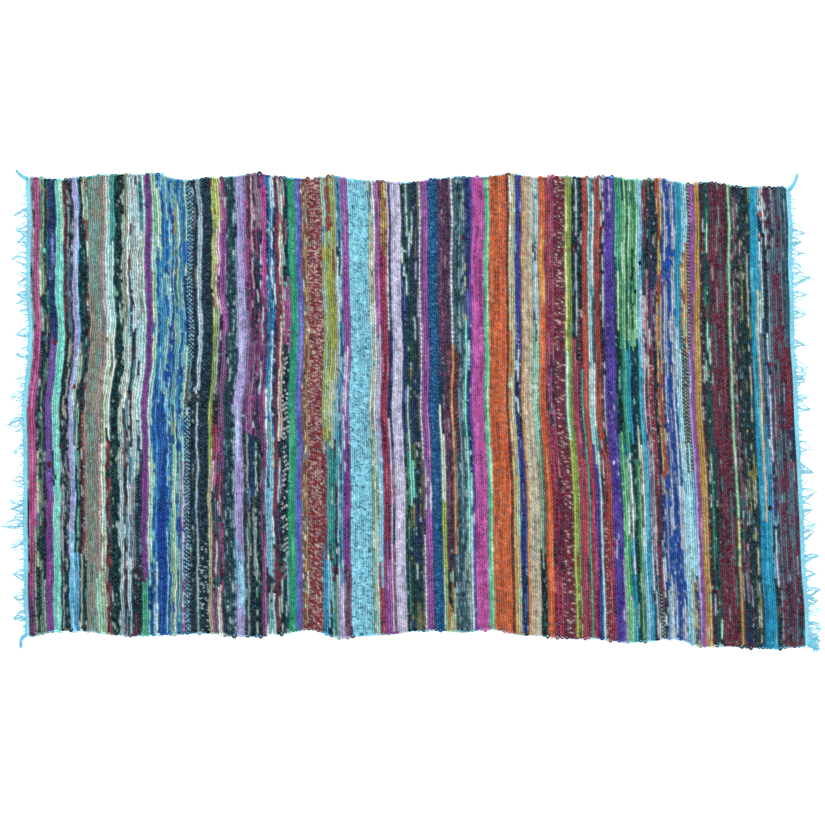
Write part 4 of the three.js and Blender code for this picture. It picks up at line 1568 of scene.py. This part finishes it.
@dataclass
class KnottedEnds:
    """Small rag knots that stand up out of the weave."""

    plan: WeavePlan
    height_mm: float = 4.6
    lumpy: float = 0.16
    stretch: tuple[float, float, float] = (0.85, 1.5, 0.45)

    def lump(self, number: int, knot: Knot) -> bpy.types.Object:
        """One knot: a ball pulled out of shape, stretched across the rug and pressed flat.

        Args:
            number: The knot's number, which sets its lumps and its tone.
            knot: The knot.

        Returns:
            The lump, with its colour.
        """
        x, y = self.plan.place(np.array([knot.u]), np.array([knot.v]))
        spot = (float(x[0]) * MM, float(y[0]) * MM, self.height_mm * MM)
        radius = 0.5 * knot.size_mm * MM
        bpy.ops.object.select_all(action="DESELECT")
        bpy.ops.mesh.primitive_ico_sphere_add(subdivisions=2, radius=radius, location=spot)
        lump = bpy.context.object
        bpy.ops.object.mode_set(mode="EDIT")
        bpy.ops.mesh.select_all(action="SELECT")
        bpy.ops.transform.vertex_random(offset=self.lumpy * knot.size_mm * MM, seed=number + 1)
        bpy.ops.transform.resize(value=self.stretch, center_override=spot)
        bpy.ops.object.mode_set(mode="OBJECT")
        bpy.ops.object.shade_smooth()
        tone = 0.7 + 0.25 * uneven(number, 5)
        colour = [*(c * tone for c in linear(RAGS[knot.rag].base)), 1.0]
        layer = lump.data.color_attributes.new("rag_colour", "FLOAT_COLOR", "POINT")
        layer.data.foreach_set("color", colour * len(lump.data.vertices))
        return lump

    def build(self, finish: bpy.types.Material) -> bpy.types.Object:
        """Every knot, joined in one piece, dressed and seated.

        Args:
            finish: Its material.

        Returns:
            The piece.
        """
        knots = [self.lump(number, knot) for number, knot in enumerate(KNOTS)]
        bpy.ops.object.select_all(action="DESELECT")
        for lump in knots:
            lump.select_set(True)
        bpy.context.view_layer.objects.active = knots[0]
        bpy.ops.object.join()
        bpy.ops.object.transform_apply(location=True, rotation=True, scale=True)
        joined = bpy.context.object
        joined.name = "knotted_ends"
        return seat(joined, ("rug_cloth",), finish)


class Shader:
    """Node tree of one material, with a method for every node that isn't plain maths."""

    def __init__(self, name: str) -> None:
        """Start an empty node tree.

        Args:
            name: The material's name.
        """
        self.material = bpy.data.materials.new(name)
        self.material.use_nodes = True
        self.tree = self.material.node_tree
        self.tree.nodes.clear()

    def node(
        self, kind: str, settings: dict[str, object] | None = None, **inputs: object
    ) -> bpy.types.Node:
        """Add a node.

        Args:
            kind: The node's type.
            settings: Values of the node itself.
            inputs: Values or sockets by input name, with _ for spaces.

        Returns:
            The node.
        """
        made = self.tree.nodes.new(kind)
        for key, value in (settings or {}).items():
            setattr(made, key, value)
        for key, value in inputs.items():
            self.connect(value, made.inputs[key.replace("_", " ")])
        return made

    def connect(self, value: object, target: bpy.types.NodeSocket) -> None:
        """Link a socket, or set a plain value.

        Args:
            value: A Value, or a plain value that the socket takes.
            target: The input socket.
        """
        if isinstance(value, Value):
            self.tree.links.new(value.socket, target)
        else:
            target.default_value = value

    def mix(self, share: object, first: object, second: object) -> "Value":
        """Mix two colours.

        Args:
            share: How much of the second colour, from 0 to 1.
            first: Colour at 0.
            second: Colour at 1.

        Returns:
            The mixed colour.
        """
        made = self.tree.nodes.new("ShaderNodeMix")
        made.data_type = "RGBA"
        for value, index in ((share, 0), (first, 6), (second, 7)):
            self.connect(value, made.inputs[index])
        return Value(self, made.outputs[2])

    def noise(self, place: object, scale: float, detail: float = 2.0) -> "Value":
        """Noise from 0 to 1."""
        made = self.node("ShaderNodeTexNoise", Vector=place, Scale=scale, Detail=detail)
        return Value(self, made.outputs["Fac"])


@dataclass(frozen=True)
class Value:
    """A shader socket that takes part in plain Python sums."""

    shader: Shader
    socket: bpy.types.NodeSocket

    def maths(self, kind: str, *others: object) -> "Value":
        """One Math node over this value and others.

        Args:
            kind: The node's operation.
            others: The other values, plain or from sockets.

        Returns:
            The node's result.
        """
        made = self.shader.tree.nodes.new("ShaderNodeMath")
        made.operation = kind
        for index, value in enumerate((self, *others)):
            self.shader.connect(value, made.inputs[index])
        return Value(self.shader, made.outputs[0])

    def __add__(self, other: object) -> "Value":
        """Sum."""
        return self.maths("ADD", other)

    def __sub__(self, other: object) -> "Value":
        """Difference."""
        return self.maths("SUBTRACT", other)

    def __mul__(self, other: object) -> "Value":
        """Product."""
        return self.maths("MULTIPLY", other)

    def fade(self, start: float, end: float) -> "Value":
        """1 up to start, falling smoothly to 0 at end.

        Args:
            start: Where the fall begins.
            end: Where it ends.

        Returns:
            A value from 0 to 1.
        """
        made = self.shader.node("ShaderNodeMapRange", {"interpolation_type": "SMOOTHSTEP"}, Value=self)
        for name, value in (("From Min", start), ("From Max", end), ("To Min", 1.0), ("To Max", 0.0)):
            made.inputs[name].default_value = value
        return Value(self.shader, made.outputs[0])


@dataclass(frozen=True)
class ClothFinish:
    """Matt cotton whose colour comes from the mesh, with fibre grain and the warp that shows."""

    name: str
    grain: float = 0.22
    grain_scale: float = 900.0
    grain_fade: tuple[float, float] = (0.36, 0.64)
    bump_mm: float = 0.25
    warp_share: float = 0.0
    warp_colour: str = "7CCBE2"
    dot_width: tuple[float, float] = (0.1, 0.26)
    dot_length: tuple[float, float] = (0.16, 0.36)
    dot_height: float = 0.6
    patch_scale: float = 0.37
    patch_fade: tuple[float, float] = (0.62, 0.4)
    roughness: float = 0.95
    shine: float = 0.06
    sheen: float = 0.02
    sheen_roughness: float = 0.5

    def make(self) -> bpy.types.Material:
        """Build the material.

        Returns:
            The material.
        """
        shader = Shader(self.name)
        from_mesh = shader.node("ShaderNodeAttribute", {"attribute_name": "rag_colour"})
        colour = Value(shader, from_mesh.outputs[0])
        place = Value(shader, shader.node("ShaderNodeTexCoord").outputs["Object"])
        fine = shader.noise(place, self.grain_scale)
        coarse = shader.noise(place, self.grain_scale * 0.3, 1.0)
        grain = (fine + coarse) * 0.5
        dark = shader.node("ShaderNodeHueSaturation", Color=colour, Value=1 - self.grain)
        light = shader.node("ShaderNodeHueSaturation", Color=colour, Value=1 + self.grain)
        share = grain.fade(*self.grain_fade)
        body = shader.mix(share, Value(shader, light.outputs[0]), Value(shader, dark.outputs[0]))
        height = grain
        if self.warp_share:
            dot = self.warp_dots(shader)
            blue = (*linear(self.warp_colour), 1.0)
            body = shader.mix(dot * self.warp_share, body, blue)
            height = grain + dot * self.dot_height
        bump = shader.node("ShaderNodeBump", Strength=1.0, Distance=self.bump_mm * MM, Height=height)
        cloth = shader.node("ShaderNodeBsdfPrincipled", Base_Color=body, Roughness=self.roughness)
        cloth.inputs["Specular IOR Level"].default_value = self.shine
        cloth.inputs["Sheen Weight"].default_value = self.sheen
        cloth.inputs["Sheen Roughness"].default_value = self.sheen_roughness
        shader.tree.links.new(bump.outputs[0], cloth.inputs["Normal"])
        output = shader.node("ShaderNodeOutputMaterial")
        shader.tree.links.new(cloth.outputs[0], output.inputs["Surface"])
        return shader.material

    def warp_dots(self, shader: Shader) -> Value:
        """Dots where warp threads pass over picks, from the pick and warp numbers of the mesh.

        Args:
            shader: The material's node tree.

        Returns:
            1 on a dot, 0 off it.
        """
        weave = Value(shader, shader.node("ShaderNodeUVMap", {"uv_map": "weave"}).outputs[0])
        split = shader.node("ShaderNodeSeparateXYZ", Vector=weave)
        pick, warp = Value(shader, split.outputs[0]), Value(shader, split.outputs[1])
        pick_floor = pick.maths("FLOOR")
        warp_round = warp.maths("ROUND")
        under = (pick_floor + warp_round).maths("FLOORED_MODULO", 2.0)
        beside = (warp - warp_round).maths("ABSOLUTE").fade(*self.dot_width)
        along_it = (pick - pick_floor - 0.5).maths("ABSOLUTE").fade(*self.dot_length)
        patchy = shader.noise(weave, self.patch_scale, 1.0).fade(*self.patch_fade)
        return under.fade(0.9, 0.1).maths("MULTIPLY_ADD", -1.0, 1.0) * beside * along_it * patchy


@dataclass(frozen=True)
class Lamp:
    """A large soft square lamp: its place, its power and the length of its side."""

    name: str
    place_m: tuple[float, float, float]
    watts: float
    side_m: float


@dataclass(frozen=True)
class Studio:
    """Pale floor, soft lights and a camera straight above."""

    aim_x_mm: float = -5.2
    aim_y_mm: float = -3.05
    width_mm: float = 1628.6
    lens: float = 200.0
    sensor_mm: float = 36
    floor_m: float = 9
    floor_colour: tuple[float, float, float] = (1.0, 1.0, 1.0)
    floor_glow: float = 0.25
    cool_light: tuple[float, float, float] = (0.95, 1.06, 1.09)
    sky_strength: float = 0.55
    lamps: tuple[Lamp, ...] = (
        Lamp("key", (-1.6, 2.4, 3.2), 120, 2.6),
        Lamp("fill", (2.2, -1.4, 3.0), 70, 3.0),
    )

    def floor(self) -> None:
        """A plain floor that the rug lies on."""
        bpy.ops.mesh.primitive_plane_add(size=self.floor_m)
        plane = bpy.context.object
        plane.name = "studio_floor"
        shader = Shader("studio_floor")
        white = (*self.floor_colour, 1.0)
        paint = shader.node("ShaderNodeBsdfPrincipled", Base_Color=white, Roughness=0.9)
        paint.inputs["Emission Color"].default_value = white
        paint.inputs["Emission Strength"].default_value = self.floor_glow
        output = shader.node("ShaderNodeOutputMaterial")
        shader.tree.links.new(paint.outputs[0], output.inputs["Surface"])
        plane.data.materials.append(shader.material)

    def light(self, lamp: Lamp) -> None:
        """Hang a lamp and turn it to the rug.

        Args:
            lamp: The lamp.
        """
        bpy.ops.object.light_add(type="AREA", location=lamp.place_m)
        hung = bpy.context.object
        hung.name = lamp.name
        hung.data.energy = lamp.watts
        hung.data.color = self.cool_light
        hung.data.size = lamp.side_m
        hung.rotation_euler = (-Vector(lamp.place_m)).to_track_quat("-Z", "Y").to_euler()

    def camera(self) -> None:
        """A long lens straight above the rug."""
        distance = self.width_mm * MM * self.lens / self.sensor_mm
        place = (self.aim_x_mm * MM, self.aim_y_mm * MM, distance)
        bpy.ops.object.camera_add(location=place, rotation=(0, 0, 0))
        camera = bpy.context.object
        camera.data.lens = self.lens
        camera.data.sensor_width = self.sensor_mm
        camera.data.clip_end = 60
        bpy.context.scene.camera = camera

    def build(self) -> None:
        """The whole studio."""
        self.floor()
        for lamp in self.lamps:
            self.light(lamp)
        world = bpy.data.worlds.new("studio")
        world.use_nodes = True
        sky = world.node_tree.nodes["Background"]
        sky.inputs["Color"].default_value = (*self.cool_light, 1)
        sky.inputs["Strength"].default_value = self.sky_strength
        bpy.context.scene.world = world
        bpy.context.scene.view_settings.view_transform = "Standard"
        self.camera()


# Where the warp ends stand in tufts at each end, from the far selvedge to the near one.
LEFT_TUFTS_PX = (
    *(215, 232, 243, 262, 275, 285, 299, 305, 311, 330, 355),
    *(382, 398, 450, 480, 502, 510, 518, 545, 575, 600, 615),
)
LEFT_LONG_TUFTS_PX = (425, 527)
RIGHT_TUFTS_PX = (
    *(223, 234, 245, 256, 262, 290, 305, 335, 356, 364, 372, 386, 398, 438, 460, 485),
    *(500, 515, 525, 547, 562, 582, 590, 598, 612, 618, 624, 630, 636, 642, 648),
)
RIGHT_LONG_TUFTS_PX = (271,)


def main() -> None:
    """Build the rug and its studio."""
    logging.basicConfig(level=logging.INFO, format="%(name)s: %(message)s")
    outline = Outline.from_frame()
    plan = WeavePlan(outline)
    rag = ClothFinish("rag_weft", warp_share=0.45).make()
    loose = ClothFinish("rag_ends").make()
    warp = ClothFinish("warp_yarn", grain=0.16, bump_mm=0.15).make()
    yarn = ClothFinish("tassel_yarn", grain=0.2, bump_mm=0.15).make()
    bands = WovenCloth(plan).build(rag)
    edges = Selvedges(plan).build(loose, warp)
    left = EndHeading(outline, -1, LEFT_TUFTS_PX, LEFT_LONG_TUFTS_PX).build(warp)
    right = EndHeading(outline, 1, RIGHT_TUFTS_PX, RIGHT_LONG_TUFTS_PX).build(warp)
    tassels = [
        CornerTassel(outline, number, shape).build(yarn)
        for number, shape in enumerate(TASSELS, 1)
    ]
    knots = KnottedEnds(plan).build(loose)
    extras = [*edges, *left, *right, *tassels, knots]
    for index, band in enumerate(bands):
        extras if index == 0 else ()
    Studio().build()
    for piece in extras:
        LOG.info("%s: %d faces", piece.name, len(piece.data.polygons))


if __name__ == "__main__":
    main()
